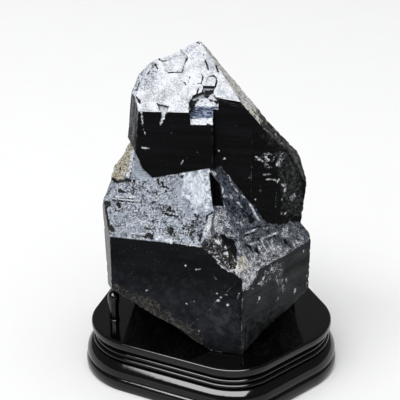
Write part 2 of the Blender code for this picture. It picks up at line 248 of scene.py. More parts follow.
MARKS["slope"] = (
    # the smooth right part, painted bright as sheen
    patch("smooth", 8, 1, (180, 170), (210.6, 164), (216, 210.5), (206, 212.5), (196, 213), (187, 205),
        (180, 193)),
    # smoother grey fields at the left
    patch("smooth", 2, 0.3, (117, 212), (131, 210), (133.5, 218), (128, 225), (116, 225)),
    patch("smooth", 1.6, 0.36, (115, 227), (146, 229), (146, 233), (142, 236.5), (115, 236.5)),
    patch("smooth", 1, 0.6, (134, 174), (137, 156), (143, 168.2), (154, 175.6), (146.9, 178.5),
        (136.7, 179)),
    # the stained, weathered left shoulder
    patch("tan", 0.8, 1, (127, 150), (135, 146), (136, 153), (131, 163), (129, 170), (124, 178),
        (118, 181), (111, 181), (113, 172), depth=0.2),
    pale(1, 1, (136, 150), (133.4, 156), (131, 168), (128, 176)), crack(0.6, 0.8, (129, 153), (127, 159)),
    crack(0.5, 0.6, (124, 164), (122.4, 170)),
    crack(1, 1, (112, 180.4), (118.6, 182), (127, 179.6), (130, 181)),
    # growth lines
    pale(0.6, 0.7, (115.3, 196.4), (134.4, 197.2)), pale(0.4, 0.6, (116, 199), (134, 200.6)),
    crack(0.5, 0.8, (113, 200.1), (133.7, 202.3)), crack(0.3, 0.6, (118, 198), (133, 199)),
    crack(0.5, 0.7, (133.6, 189), (133, 195)), pale(0.5, 0.6, (131, 223), (140, 220.6), (152, 224)),
    pale(0.7, 0.6, (131, 232.5), (146, 234.5)), crack(0.4, 0.5, (116, 225.6), (131, 226.6), (150, 229)),
    # pits
    crack(1.2, 1, (134.4, 180.6)), crack(0.9, 1, (119.6, 190.4), (123.4, 192)),
    crack(1.1, 1, (117.9, 203.4), (119.4, 207)),
    patch("dark", 0.7, 1, (104.4, 201), (109.5, 202), (111, 205.6), (107.4, 208.6), (104.4, 207),
        depth=-0.5),
    crack(1.3, 1, (105.4, 208), (106.2, 217), (108, 224)),
    patch("dark", 0.8, 0.9, (107.4, 224.6), (112.4, 226.4), (114.6, 228.4), (114, 232), (109, 231),
        depth=-0.5),
    patch("dark", 0.7, 1, (141.6, 236.8), (149, 232), (153, 233.8), (154, 240), (150, 240)),
    patch("dark", 0.8, 1, (168, 226.8), (173.2, 228), (172.6, 233.2), (170.4, 234.8), (167.6, 231),
        depth=-0.6),
    patch("dark", 1.2, 0.55, (165.4, 233), (172.8, 232.8), (174.6, 240), (166.4, 240)),
    patch("dark", 0.7, 1, (161, 210.6), (165.5, 211.2), (168.3, 206.2), (171.8, 206.6), (171.2, 210),
        (175.4, 210.8), (175, 213), (168, 211.2), (163, 213), depth=-0.4),
    crack(0.6, 1, (165.5, 214), (175, 216)), crack(0.7, 1, (157.6, 179), (159, 184.4)),
    crack(0.8, 1, (161.8, 182.3), (163.7, 187)), crack(0.6, 1, (164.6, 186.6), (168.4, 188)),
    crack(0.7, 1, (166, 191.2)),
    patch("dark", 0.4, 1, (179.4, 174.8), (184, 175), (182, 178.6), depth=-0.5),
    crack(0.5, 1, (178.6, 174.8), (178.4, 170)), crack(0.9, 0.7, (149.6, 203), (154.6, 202.6)),
    *each(crack, 0.7, 0.8, (147.4, 190.9), (177.3, 216.5), (173.5, 221.1)),
    crack(0.7, 0.7, (152.6, 221), (153.6, 224)), crack(0.7, 0.6, (182.6, 227), (184.4, 228.6)),
    patch("dark", 1, 0.6, (216.4, 231.8), (208, 241), (202.5, 248), (196, 247), (206, 238), (213, 231)),
    # dark green-grey streaks towards the broken corner
    patch("dark", 3, 0.5, (190, 222), (199, 213), (207, 213), (203, 224), (201, 236), (197, 243),
        (188, 240)),
    crack(0.9, 1, (201.2, 233), (199.8, 240.4)), crack(0.7, 0.7, (197.6, 216.6), (195.6, 224)),
    crack(0.6, 0.6, (193, 218), (192.4, 229)),
    # the frosted fan by the corner, behind its dark arc
    patch("pale", 1.2, 0.52, (206.4, 219.6), (210.6, 213.8), (216, 211.2), (216, 232), (207.5, 241.5),
        (202.6, 236), (203.2, 229.6)),
    crack(0.7, 1, (205.9, 220), (207.3, 215.7), (211.3, 213), (215.4, 211.9)),
    pale(0.9, 0.9, (160.8, 236.4), (156, 238.8)), pale(1.3, 0.9, (167.6, 240.6), (170.4, 240.8)),
)
MARKS["left slope"] = (
    patch("smooth", 1, 0.6, (134, 160.3), (138.3, 156), (144.8, 172.2), (136.7, 178.4), (132.5, 176.4)),
    crack(0.5, 0.6, (130.5, 164), (132.6, 169.6), (131, 175)), crack(0.4, 0.5, (134, 168), (133, 174)),
    crack(0.6, 0.7, (128, 172), (127, 178.6)), pale(0.8, 0.9, (131, 158), (128, 166), (126.6, 172)),
    patch("tan", 0.8, 1, (127, 150), (134, 148), (131, 163), (128, 170), (124, 178), (118, 181),
        (109, 182), (112, 172), depth=0.2),
    crack(1, 0.9, (112.4, 179), (118.6, 181), (126, 179.6)),
    crack(0.8, 0.8, (110.6, 187.6), (107.4, 194)), crack(0.6, 0.6, (112.4, 191), (109, 197)),
)
MARKS["left flank"] = (
    patch("tan", 1, 1, (131, 140), (135, 143), (127, 166), (121, 176), (112, 182), (112, 174),
        (118, 163), (124, 150), depth=0.25),
    pale(0.9, 0.8, (134, 146), (130, 158), (127, 166)), crack(0.7, 0.7, (129, 149), (126.6, 155)),
    crack(0.6, 0.5, (122, 166), (119, 173)), crack(0.8, 0.9, (113.4, 178.6), (119.6, 180.4)),
)
MARKS["facet"] = (
    # the overhung tip is painted black, as shade under the upper crystal
    patch("dark", 0.5, 1, (204, 148), (222.4, 148), (220.7, 164.9), (215, 169.8), (209, 169.8),
        (204, 172)),
    # flecks along the slot and the upper crystal
    pale(0.5, 0.55, (221, 182), (222.8, 188.3), (222.8, 193)),
    pale(0.5, 0.6, (223.2, 202), (224.6, 206.4)), pale(0.4, 0.6, (220.6, 165.6), (224.3, 169.4)),
    pale(0.7, 0.7, (228.6, 175), (230.8, 181)), pale(0.6, 0.45, (231.6, 183.7), (235.6, 189.8)),
    pale(0.8, 0.8, (236, 189.8), (237.7, 191.2)), pale(0.6, 0.45, (239.8, 193), (245, 198.4)),
    # streaks down the face
    pale(0.5, 0.7, (211.5, 170.9), (214.6, 175.4)), pale(0.4, 0.6, (213.4, 170.8), (216.4, 174.7)),
    pale(1, 0.55, (224.3, 195.9), (232.7, 197.4)), pale(0.7, 0.35, (228, 194.4), (238, 195.6)),
    pale(0.7, 0.7, (238.1, 202.8), (241.9, 207.4)), pale(0.5, 0.45, (242.6, 206), (246.4, 211.6)),
    pale(0.9, 0.75, (249.6, 204.1), (254.1, 211.2), (257.6, 218.9)),
    pale(1.4, 0.75, (257.2, 217.9), (261, 223.5)), pale(1, 0.5, (260, 213), (263.6, 221)),
    # the sugary junction with the front slope
    patch("pale", 2.4, 0.43, (216, 203), (223, 206), (229, 214), (235, 226), (240, 232), (236, 242),
        (224, 240), (210, 230), (208, 214)),
    patch("pale", 2.4, 0.36, (231, 216), (246, 219), (252, 226), (240, 231), (234, 230)),
    patch("smooth", 1.5, 0.6, (211, 174.4), (216.4, 176), (217, 181.6), (212.4, 181.6)),
    *CORNER,
    patch("dark", 2, 0.55, (243, 205), (257, 222), (250, 223), (240, 211)),
    patch("dark", 1.6, 0.4, (229, 201), (236, 204), (238, 212), (232, 211)),
)
MARKS["fan"] = (
    # the sugary junction
    patch("pale", 2, 0.48, (220, 222), (235, 224), (240.5, 233), (241, 243), (238.6, 252), (234, 246),
        (226, 236)),
    *CORNER,
    # growth lines across the top
    crack(0.5, 0.7, (241, 232), (258.6, 226.4), (272, 225.4)), pale(1, 0.55, (241, 234.4), (255, 229.8)),
    crack(0.5, 0.7, (242, 236.2), (254, 232.8)),
    patch("pale", 1.2, 0.42, (242.5, 238), (256, 234.4), (255, 237.6), (246.5, 241.6)),
    pale(0.7, 0.6, (248.5, 244.5), (258.6, 241.8)), pale(0.9, 0.4, (263, 228.4), (272.6, 227.4)),
    pale(0.8, 0.62, (260.6, 239.8), (268, 236.4), (277.3, 232.8)),
    crack(1.2, 0.7, (252, 249.6), (249, 245.6), (246.4, 244.4)),
    crack(1.5, 0.8, (256, 249.4), (259, 252.4)), crack(1.2, 0.6, (266, 239.6), (275, 236.4)),
    patch("dark", 1.4, 0.85, (283.6, 239.4), (288.6, 239.4), (290.4, 246), (285, 245.4)),
    # the frosted band above the right-hand side
    patch("pale", 3, 0.45, (238.6, 246), (246, 251), (256, 250.6), (262, 244), (272.5, 241.6),
        (289.4, 246), (288, 262), (264, 276), (240, 286), (232, 276)),
    pale(0.5, 0.7, (261.5, 241.4), (266.3, 250.5)), pale(0.5, 0.7, (266, 240), (270.6, 248.5)),
    pale(0.5, 0.8, (258, 246), (262, 253.5)), pale(0.5, 0.7, (271, 241.6), (274.6, 249.5)),
    patch("tan", 0.8, 1, (244.5, 254), (248.4, 262), (248, 270), (242, 273), (234, 273), (236.5, 263),
        (239.8, 257.6), depth=0.3),
    # speckled shoulder
    patch("pale", 1.2, 0.42, (280.2, 226.4), (288.4, 226.4), (288.4, 236.4), (282, 237.6)),
    patch("pale", 2.4, 0.25, (290.7, 221), (299, 227), (305.6, 236), (304.6, 244.6), (294.6, 249.6),
        (289.6, 243)),
    patch("pale", 1.4, 0.48, (291, 240), (303.6, 238), (303.6, 245.6), (294.6, 248.6)),
)
MARKS["chip"] = (
    patch("pale", 1.4, 0.6, (213, 209), (222, 209), (229, 224), (241, 236), (242, 250), (238, 258),
        (235, 243), (226, 236), (217, 231), (208, 241), (203, 236), (206, 220)),
    patch("dark", 1, 0.92, (216.4, 231.8), (225, 235), (233.5, 240.1), (236.8, 250.8), (237.4, 259),
        (234.7, 268.2), (228.9, 272), (219.2, 265.9), (211.6, 257.5), (202.5, 249.8), (196.5, 246.8),
        (207.5, 243.8)),
    patch("tan", 0.8, 1, (238.4, 260), (243, 256), (244, 272), (236.6, 270.3)),
    pale(1.2, 1, (216.4, 241.4), (219, 243.3)), pale(1, 1, (221.2, 241.7)),
    pale(1.2, 1, (223.3, 240.9), (227.1, 240.6)), pale(1, 1, (225.1, 244.8), (226.6, 247.8)),
    pale(2, 1, (226.6, 253.6), (230.7, 256.7)), pale(0.9, 1, (230.4, 245.6)),
    pale(0.8, 1, (224.6, 235.6), (226.6, 232.6)), pale(0.7, 0.9, (209.8, 252)),
    pale(0.5, 0.7, (213, 256.4), (219.4, 262)), pale(0.5, 0.9, (222, 265.6), (228.9, 270.8)),
    pale(0.8, 0.9, (228.9, 270.8), (235.3, 270)),
)
MARKS["front"] = (
    # broken white line along the top edge
    pale(0.5, 0.7, (150, 239), (156, 240.6)), pale(1, 0.9, (167.4, 242), (171, 242.6)),
    pale(0.5, 0.8, (182, 243.4), (193, 245), (206.5, 247.4)),
    pale(0.5, 0.9, (221, 266), (228.9, 271.2), (234, 271.4)), pale(0.6, 0.6, (217, 262.6), (219, 264)),
    # scratches and specks
    pale(0.35, 0.28, (133.2, 260.7), (133.2, 272)),
    *each(pale, 0.5, 0.8, (185.7, 265.8), (186.7, 303.6), (226.6, 294.8)),
    pale(0.4, 0.7, (196, 269.4), (199.5, 268.9)), pale(0.6, 0.45, (214, 277), (217.4, 279.6)),
    pale(0.4, 0.7, (193.9, 301.5)), pale(0.9, 1, (217.9, 300.5)), pale(0.8, 1, (227.6, 304.6)),
    pale(0.6, 0.8, (217, 293.4)), pale(0.5, 0.6, (222, 291.6)),
    *each(pale, 0.4, 0.6, (221, 297.6), (210.2, 309.7), (195, 329.4)), pale(0.8, 0.9, (202, 334.2)),
    pale(0.4, 0.5, (199, 331)), pale(0.5, 0.5, (147, 290.3)), pale(0.6, 0.6, (239, 293), (238, 297.6)),
    # a bluer haze low on the face
    patch("smooth", 12, 0.5, (112, 276), (150, 284), (200, 292), (238, 296), (240, 345), (200, 345),
        (112, 300)),
    patch("smooth", 5, 0.9, (200, 304), (228, 304), (240, 320), (238, 336), (212, 334)),
    # the worn lower edge
    Mark("tan", 8, 0.56, ((108, 287), (123.5, 297.5), (133, 300.4), (146, 303.4), (157, 311),
        (168, 321.4), (181, 330.4), (196, 338.4))),
    pale(0.5, 0.42, (160, 318.6), (165, 323.4), (171, 328.2), (177, 331.6)),
)
MARKS["right"] = (
    # the pale crust at the corner, and its grey foot
    patch("tan", 0.8, 1, (244.5, 250.6), (248.2, 262), (247.4, 269.3), (242.5, 272.6), (235, 270.3),
        (235, 262), depth=0.45),
    patch("pale", 1.6, 0.66, (235, 270), (242.5, 271), (248.5, 266.3), (256, 262.3), (259.6, 266.3),
        (255.6, 277.3), (251.9, 283.7), (246.5, 289.7), (236.5, 291), depth=0.3),
    patch("pale", 2.4, 0.55, (250, 250), (262, 248), (289, 243), (289, 249.4), (277.5, 257),
        (265.2, 262.6), (257.2, 266.3), (250.6, 266.8)),
    pale(0.5, 0.5, (266, 254), (270, 262)), pale(0.5, 0.4, (277.6, 250), (281, 257)),
    # rows of specks
    patch("pale", 2, 0.3, (257, 286), (264, 272), (274, 264), (284, 262), (284, 272), (270, 279),
        (262, 287)),
    patch("pale", 2, 0.27, (271, 272), (279, 271), (286, 286), (283, 294), (277, 286)),
    pale(1.3, 0.55, (258.7, 283.8), (261, 282.3)), pale(1.2, 0.55, (262.8, 278.8), (264.6, 276.6)),
    pale(1.2, 0.58, (271, 270.4), (273, 269.2)), pale(1, 0.55, (276.6, 277), (277.6, 280.3)),
    pale(0.9, 0.5, (282.6, 287.4), (282.8, 290.5)), pale(1.2, 0.36, (286.3, 276.9), (287, 280.8)),
    pale(1.2, 0.61, (295.5, 289.2), (294.7, 293)), pale(1.6, 0.72, (259.5, 297.6)),
    pale(0.78, 0.65, (303.5, 250.9)), pale(0.78, 0.5, (240.4, 290.7), (239.6, 293.8)),
    pale(0.65, 0.5, (242.7, 299.1)), pale(0.65, 0.43, (252.6, 288.4)),
    pale(0.65, 0.29, (278, 297.6), (277.4, 300.4)), pale(0.78, 0.36, (257.4, 303)),
    pale(0.65, 0.36, (266.6, 303.4)), pale(0.52, 0.36, (307.6, 270), (306.4, 288)),
    # the face painted darker towards its bottom
    patch("dark", 9, 0.5, (238, 322), (262, 310), (306, 300), (306, 334), (240, 354)),
)
MARKS["long break"] = (
    patch("pale", 6, 0.52, (196, 36), (214, 40), (250, 88), (262, 112), (240, 108), (226, 84)),
    patch("dark", 4, 0.85, (256, 108), (278, 118), (306, 150), (304, 174), (286, 166), (262, 130)),
)
MARKS["upper front"] = (
    pale(0.4, 0.95, (142, 148), (148.6, 148.2)), pale(0.4, 0.6, (186.8, 157.7)),
    pale(0.35, 0.7, (181, 165), (183.4, 159.6)), pale(0.35, 0.5, (144, 130), (145, 134)),
    *each(pale, 0.3, 0.4, (197.6, 152), (160, 142), (171.4, 133)),
    # light lines below the notch and at the left edge
    pale(0.45, 0.8, (160.5, 124.2), (162.4, 117.4), (167.3, 111.6)),
    pale(0.5, 0.6, (141, 109), (142, 116), (142.6, 124)), pale(0.3, 0.6, (146, 111)),
)
MARKS["upper middle"] = (
    pale(0.5, 0.8, (219, 151)), pale(0.6, 0.9, (224.5, 158.5)), pale(0.35, 0.5, (245.7, 179)),
    pale(0.35, 0.35, (249.6, 177.4)), *each(pale, 0.3, 0.3, (236, 126), (246, 142)),
)
MARKS["upper right"] = (
    # glints where the face is bruised
    patch("pale", 2, 0.2, (256, 153), (268, 151), (276, 154), (275, 166), (266, 168), (258, 163)),
    pale(0.35, 0.8, (255.7, 156.1), (257.4, 157.4)), pale(0.4, 0.8, (258, 158.8), (262.6, 161.1)),
    pale(0.35, 0.6, (264.9, 156.1), (269.5, 160.7)), pale(0.35, 0.6, (272.5, 160.6), (274.4, 157.4)),
    patch("pale", 1.4, 0.5, (281, 152), (283.6, 153), (282.6, 161), (279.6, 166), (275.6, 166.6),
        (277.6, 159)),
    pale(0.5, 0.6, (283, 153.1), (278.8, 158.4), (276.2, 164.3)),
    pale(0.35, 0.45, (264.9, 167.6), (273.3, 167.8)), pale(0.35, 0.45, (264.1, 174.5), (270.2, 174.3)),
    pale(0.4, 0.65, (266.8, 179.1), (272.5, 179.5), (277.1, 180.6)),
    pale(0.4, 0.6, (278.8, 179.3), (277.1, 182.5)),
    patch("pale", 1.4, 0.5, (282.4, 184), (286.4, 183), (286.4, 190), (283.6, 195)),
    patch("pale", 1.4, 0.45, (291, 192.4), (295.6, 191.4), (293.8, 200), (290, 200.6)),
    pale(0.5, 0.3, (276.3, 191.3), (276, 206.6)), pale(0.5, 1, (255.3, 199.2)),
    pale(0.4, 0.4, (282.5, 197.4), (282, 200.5)), pale(0.6, 0.9, (285.1, 213.5)),
    pale(0.4, 0.4, (281.7, 214.3), (282.5, 211.2)), pale(0.4, 0.3, (260.3, 186), (260.7, 191.3)),
    # the weathered strip along its right edge
    patch("smooth", 3, 1, (276, 150), (284, 148), (300, 170), (304, 214), (282, 216), (282, 190),
        (277, 168)),
    patch("smooth", 3, 0.35, (252, 128), (270, 126), (286, 148), (276, 152), (262, 142)),
)

# Where the real crystal is fuller than its flat faces, as (point, radius,
# shift): the upper front block's lower left corner, and the left shoulder.
SWELLS = (
    ((-32.9, -19.9, 108.6), 4.6, (-1.15, 0.0, -0.75)),
    ((-44.5, -12.0, 106.5), 6.0, (-1.4, 0.0, 0.5)),
    ((-38.5, -7.0, 113.0), 4.0, (-1.2, 0.0, 4.2)),
)

# The stand, as in the part's source. Each side of its plate is the direction
# that it faces, its distance from the middle, and the radius of the corner
# after it.
PLATE_TOP = 25.0
CLAW_WIDTH = 6.0
STAND_SIDES = ((-116.3, 54.7, 25.0), (-47.9, 58.7, 35.0), (19.1, 55.0, 28.0), (92.0, 56.0, 28.0),
               (164.4, 57.2, 32.0))
# The mouldings of its sides from the top down, as (height, offset outwards). The
# plate has a crisp upper edge; the ovolo's upper half is broad and flat enough
# to hold a thick highlight.
PLATE_EDGE = ((25.0, -2.2), (25.0, -0.75), (24.3, -0.05), (22.6, 0.0), (21.0, -0.3), (20.7, -1.6))
GROOVE = ((20.3, -3.0), (18.9, -3.1))
OVOLO = ((13.9, -0.9), (13.8, -0.1), (11.6, 1.75), (9.0, 2.6), (7.3, 2.6))
FOOT = ((0.8, 3.1), (0.0, 2.5))
# Each bead and the torus: its middle, its half height and depth, and its ends
# in degrees, where 0 faces out and 90 up.
UPPER_BEAD = ((17.5, -2.7), (1.05, 1.1), (80.0, -80.0))
LOWER_BEAD = ((15.2, -1.9), (1.1, 1.2), (80.0, -80.0))
TORUS = ((3.3, 1.3), (3.3, 1.9), (84.0, 0.0))
# The sharp steps above the ovolo and above the torus.
OVOLO_SEAM = (13.9, -1.2)
TORUS_SEAM = (6.8, 1.3)
ARC_STEPS = 12
CORNER_STEPS = 24
# A claw's outline, as (height, share of its half width): its root, measured
# from the plate, and its head, measured from its tip.
CLAW_ROOT = ((-1.5, 0.95), (0.7, 0.93), (1.2, 0.78))
CLAW_HEAD = ((-9.0, 0.78), (-6.0, 0.94), (-3.6, 1.0), (-1.7, 0.84), (-0.5, 0.5), (0.0, 0.15))
CLAW_SIDES = 28
# How much broader a claw is than it is thick.
CLAW_BREADTH = 1.15
# Plan position and height of each claw, and the crystal face that it holds, as
# (azimuth, elevation, point), clear of it by the gap.
SEAT_GAP = 0.3
CLAWS = (
    ((-49.4, -15.8), 16.5, (-54.0, -50.0, (-27.0, -40.0, 42.2))),
    ((-31.0, 29.1), 16.0, (226.0, 0.0, (-29.0, 29.0, 60.0))),
    ((10.4, 35.0), 15.0, (166.0, 0.0, (8.0, 34.0, 60.0))),
    ((40.9, 11.6), 16.0, (106.0, 0.0, (47.0, -14.0, 60.0))),
)


def direction(azimuth, elevation):
    """The unit vector for an azimuth and elevation in degrees; azimuth 0 is -Y."""
    turn = math.radians(azimuth)
    rise = math.radians(elevation)
    level = math.cos(rise)
    return Vector((math.sin(turn) * level, -math.cos(turn) * level, math.sin(rise)))


def face_axes(normal):
    """Across and up a face: level, and up its slope."""
    across = Vector((0.0, 0.0, 1.0)).cross(normal)
    if across.length < 1e-3:
        across = Vector((1.0, 0.0, 0.0))
    across.normalize()
    return across, normal.cross(across)


def plane_of(name):
    """A named surface's normal, and a point on it in the frame."""
    surface = SURFACES[name]
    return direction(surface.azimuth, surface.elevation), Vector(surface.point) + SHIFT


# ------------------------------------------------ the faces of the CAD crystal

def surface_of(face):
    """The name of the surface that a CAD face belongs to, if any."""
    middle = face.calc_center_median()
    for name, surface in SURFACES.items():
        normal, point = plane_of(name)
        if face.normal.angle(normal) > math.radians(surface.limit):
            continue
        away = middle - point
        if surface.low < away.dot(normal) < surface.high and away.length < surface.reach:
            return name
    return None


def kind_of(face, name):
    """The kind of surface of one flat CAD face."""
    if name:
        return SURFACES[name].kind
    middle = face.calc_center_median()
    for owner, reach in WALLS_OF:
        normal, point = plane_of(owner)
        depth = (point - middle).dot(normal)
        if abs(face.normal.dot(normal)) < 0.02 and 0.0 < depth < reach and middle.y < WALLS_END:
            return "wall"
    normal, point = plane_of("facet")
    if face.normal.dot(normal) > 0.999 and SLOT_FLOOR[0] < (point - middle).dot(normal) < SLOT_FLOOR[1]:
        return "wall"
    return "rough" if face.calc_area() < FLAT_AREA else "back"


def cad_faces():
    """The CAD crystal as a bmesh in millimetres, with flat regions joined."""
    solid = bmesh.new()
    solid.from_mesh(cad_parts["crystal"].data)
    solid.transform(Matrix.Scale(1.0 / MM, 4))
    bmesh.ops.remove_doubles(solid, verts=solid.verts, dist=WELD)
    bmesh.ops.dissolve_limit(solid, angle_limit=math.radians(FLAT_ANGLE), verts=solid.verts,
                             edges=solid.edges)
    solid.normal_update()
    for elements in (solid.verts, solid.edges, solid.faces):
        elements.index_update()
    return solid


def spacing_at(kind, normal):
    """The mesh is coarser on faces that look backwards."""
    return max(SPACING[kind], SPACING["back"]) if normal.y > BACKWARDS else SPACING[kind]


# --------------------------------------------------------------- the fine mesh

# Points are tested against an outline this many at a time.
POINT_BLOCK = 4000


def inside_and_gap(points, outline):
    """Which points lie inside a closed outline, and how far each is from it."""
    ends = np.array(outline, dtype=float)
    starts = np.roll(ends, 1, axis=0)
    along = ends - starts
    reach = (along ** 2).sum(axis=1) + 1e-12
    rise = np.where(along[:, 1] == 0.0, 1e-12, along[:, 1])
    inside = np.zeros(len(points), dtype=bool)
    gap = np.zeros(len(points))
    for first in range(0, len(points), POINT_BLOCK):
        block = slice(first, first + POINT_BLOCK)
        dx = points[block, 0][:, None] - starts[:, 0]
        dy = points[block, 1][:, None] - starts[:, 1]
        crosses = (starts[:, 1] > points[block, 1][:, None]) != (ends[:, 1] > points[block, 1][:, None])
        inside[block] = (crosses & (dx < dy / rise * along[:, 0])).sum(axis=1) % 2 == 1
        part = np.clip((dx * along[:, 0] + dy * along[:, 1]) / reach, 0.0, 1.0)
        gap[block] = np.hypot(dx - part * along[:, 0], dy - part * along[:, 1]).min(axis=1)
    return inside, gap


def gap_to_line(points, line):
    """How far each point is from a line of points, or from a single one."""
    line = np.array(line, dtype=float)
    if len(line) == 1:
        return np.hypot(*(points - line[0]).T)
    gap = np.full(len(points), 1e9)
    for start, end in zip(line, line[1:]):
        along = end - start
        part = np.clip(((points - start) @ along) / (along @ along), 0.0, 1.0)
        gap = np.minimum(gap, np.hypot(*(points - start - part[:, None] * along).T))
    return gap


def inner_points(loop, spacing):
    """A jittered triangular grid inside a flat loop, clear of its border."""
    corners = np.array(loop)
    low = corners.min(axis=0)
    high = corners.max(axis=0)
    row_step = spacing * math.sqrt(0.75)
    rows = int((high[1] - low[1]) / row_step) + 1
    columns = int((high[0] - low[0]) / spacing) + 2
    jj, ii = np.mgrid[0:rows, 0:columns]
    us = low[0] + (ii + 0.5 * (jj % 2)) * spacing
    vs = low[1] + (jj + 0.5) * row_step
    points = np.stack([us.ravel(), vs.ravel()], axis=1)
    # the usual hash of a place into a number from 0 to 1
    chance = np.sin(points[:, ::-1] * 12.9898 + points * 78.233) * 43758.5453
    chance -= np.floor(chance)
    points = points + (chance - 0.5) * JITTER * spacing
    inside, gap = inside_and_gap(points, corners)
    return points[inside & (gap > CLEARANCE * spacing)].tolist()


class FineMesh:
    """The crystal's points and triangles, and the CAD face that each is on."""

    def __init__(self):
        solid = cad_faces()
        self.names = [surface_of(face) for face in solid.faces]
        self.kinds = [kind_of(face, name) for face, name in zip(solid.faces, self.names)]
        self.normals = [face.normal.copy() for face in solid.faces]
        self.points = [vert.co.copy() for vert in solid.verts]
        self.triangles = []
        self.owners = []
        self.split(solid)
        solid.free()

    def split(self, solid):
        """Splits every flat face into small, even triangles that share borders."""
        spacings = [spacing_at(kind, normal) for kind, normal in zip(self.kinds, self.normals)]
        between = {}
        for edge in solid.edges:
            step = min(spacings[face.index] for face in edge.link_faces)
            parts = max(1, round(edge.calc_length() / step))
            start, end = edge.verts
            first = len(self.points)
            between[edge.index] = list(range(first, first + parts - 1))
            for part in range(1, parts):
                self.points.append(start.co.lerp(end.co, part / parts))
        for face in solid.faces:
            border = []
            for loop in face.loops:
                border.append(loop.vert.index)
                inner = between[loop.edge.index]
                forward = loop.edge.verts[0] == loop.vert
                border.extend(inner if forward else inner[::-1])
            self.fill(face.index, border, spacings[face.index])

    def fill(self, owner, border, spacing):
        """Triangulates one flat face from its border and a grid inside it."""
        across, up = face_axes(self.normals[owner])
        origin = self.points[border[0]]
        flat = [((self.points[i] - origin).dot(across), (self.points[i] - origin).dot(up))
                for i in border]
        grid = inner_points(flat, spacing)
        if len(border) == 3 and not grid:
            self.triangles.append(tuple(border))
            self.owners.append(owner)
            return
        first = len(self.points)
        for u, v in grid:
            self.points.append(origin + u * across + v * up)
        count = len(border)
        rim = [(i, (i + 1) % count) for i in range(count)]
        result = geometry.delaunay_2d_cdt([Vector(place) for place in flat + grid], rim,
                                          [list(range(count))], 1, 1e-7)
        ids = []
        for made_from in result[3]:
            source = made_from[0] if made_from else None
            if source is None:
                ids.append(None)
            else:
                ids.append(border[source] if source < count else first + source - count)
        for corners in result[2]:
            named = tuple(ids[i] for i in corners)
            if None not in named and len(set(named)) == 3:
                self.triangles.append(named)
                self.owners.append(owner)

    def owners_around(self):
        """For each point, how many triangles of each CAD face touch it."""
        around = [{} for _ in self.points]
        for triangle, owner in zip(self.triangles, self.owners):
            for index in triangle:
                around[index][owner] = around[index].get(owner, 0) + 1
        return around

    def rim_gaps(self, limit=20.0, reach=6.0):
        """Each point's distance to the nearest edge sharper than limit."""
        sides = {}
        for triangle, owner in zip(self.triangles, self.owners):
            for i in range(3):
                key = tuple(sorted((triangle[i], triangle[(i + 1) % 3])))
                sides.setdefault(key, set()).add(owner)
        sharp = set()
        for key, both in sides.items():
            if len(both) == 2:
                one, other = both
                if self.normals[one].angle(self.normals[other]) > math.radians(limit):
                    sharp.update(key)
        tree = kdtree.KDTree(len(sharp))
        for index in sorted(sharp):
            tree.insert(self.points[index], index)
        tree.balance()
        return [min(reach, tree.find(point)[2]) for point in self.points]


# ------------------------------------------------------------ relief and marks

def stepped(value, steps):
    """Turns a smooth value into terraces with steep risers."""
    scaled = value * steps
    base = math.floor(scaled)
    part = scaled - base
    riser = (part - RISER_START) / RISER_WIDTH
    return (base + min(1.0, max(0.0, riser))) / steps


def grain(u, v, across, up, seed):
    """Smooth noise over a face, stretched to a size across and up it."""
    return noise.noise(Vector((u / across, v / up, seed)))


def lumps(point, sizes):
    """Smooth noise in space: the sum of lumps of each (size, height)."""
    total = 0.0
    for size, height in sizes:
        total += height * noise.noise((point + LUMPS_START) / size)
    return total


# The lumps of each kind of broken surface, as (size, height).
LUMPS = {
    "chip": ((3.2, 0.55), (1.4, 0.40), (0.8, 0.22)),
    "fan": ((4.0, 0.25), (1.5, 0.22), (0.8, 0.14)),
    "grain": ((4.5, 0.6), (1.9, 0.45), (1.0, 0.28)),
    "edge": ((5.5, 0.75), (2.4, 0.55), (1.2, 0.25)),
    "flank": ((5.0, 0.35), (2.0, 0.25), (1.0, 0.15)),
    "rough": ((5.5, 0.55), (2.3, 0.38), (1.1, 0.20)),
    "wall": ((2.6, 0.25), (1.1, 0.15)),
}
# The grains of each kind of grown face, as (height, size across, size up, seed).
GRAINS = {
    "slope": ((0.13, 1.7, 1.3, 15.0), (0.08, 0.9, 0.9, 35.0)),
    "cap": ((0.05, 1.6, 1.4, 16.0),),
    "tab": ((0.10, 1.6, 1.0, 7.0),),
    "slate": ((0.12, 2.0, 1.6, 18.0), (0.06, 0.9, 0.9, 28.0)),
    "stripe": ((0.30, 1.3, 14.0, 12.0), (0.12, 3.0, 5.0, 22.0)),
}
# Plain prism faces have growth lines across them, and a slow swell.
PLAIN_GRAINS = ((0.05, 45.0, 2.0, 3.0), (0.12, 28.0, 28.0, 9.0))
# Growth terraces, given in the same way, with where a riser starts in a step
# and how much of it it takes.
TERRACES = {"slope": (0.30, 6.0, 4.0, 5.0), "cap": (0.14, 8.0, 7.0, 6.0)}
TERRACE_STEPS = 3.0
RISER_START = 0.35
RISER_WIDTH = 0.3
# Pits in the slopes, and slanting ridges on the facet.
PIT_DEPTH = 0.7
PIT_RARITY = 0.40
PIT_GRAINS = (2.0, 1.6, 25.0)
SLANT_HEIGHT = 0.16
SLANT_GRAINS = (9.0, 1.4, 8.0)
# The ragged rims of marks, as (size, height) of their lumps, and how far a
# patch's rim and a line's width follow them.
RAGGED = ((2.4, 0.7), (0.9, 0.7))
PATCH_RAGGED = 0.9
LINE_RAGGED = 0.7
# Relief keeps this share of its height where faces meet, and this one where a
# broken edge is among them.
RELIEF_AT_EDGES = 0.4
RELIEF_AT_BREAKS = 0.85
# Where the noise of the lumps and of the chips starts.
LUMPS_START = Vector((31.0, 0.0, 0.0))
CHIPS_START = Vector((11.0, 0.0, 0.0))
# The faces' patterns are this far apart, and this many.
PATTERN_STEP = 37.0
PATTERNS = 50
# Chips along sharp edges.
CHIP_SIZE = 1.7
CHIP_RARITY = 0.22
CHIP_STEEPNESS = 2.0
CHIP_DEPTH = 0.6


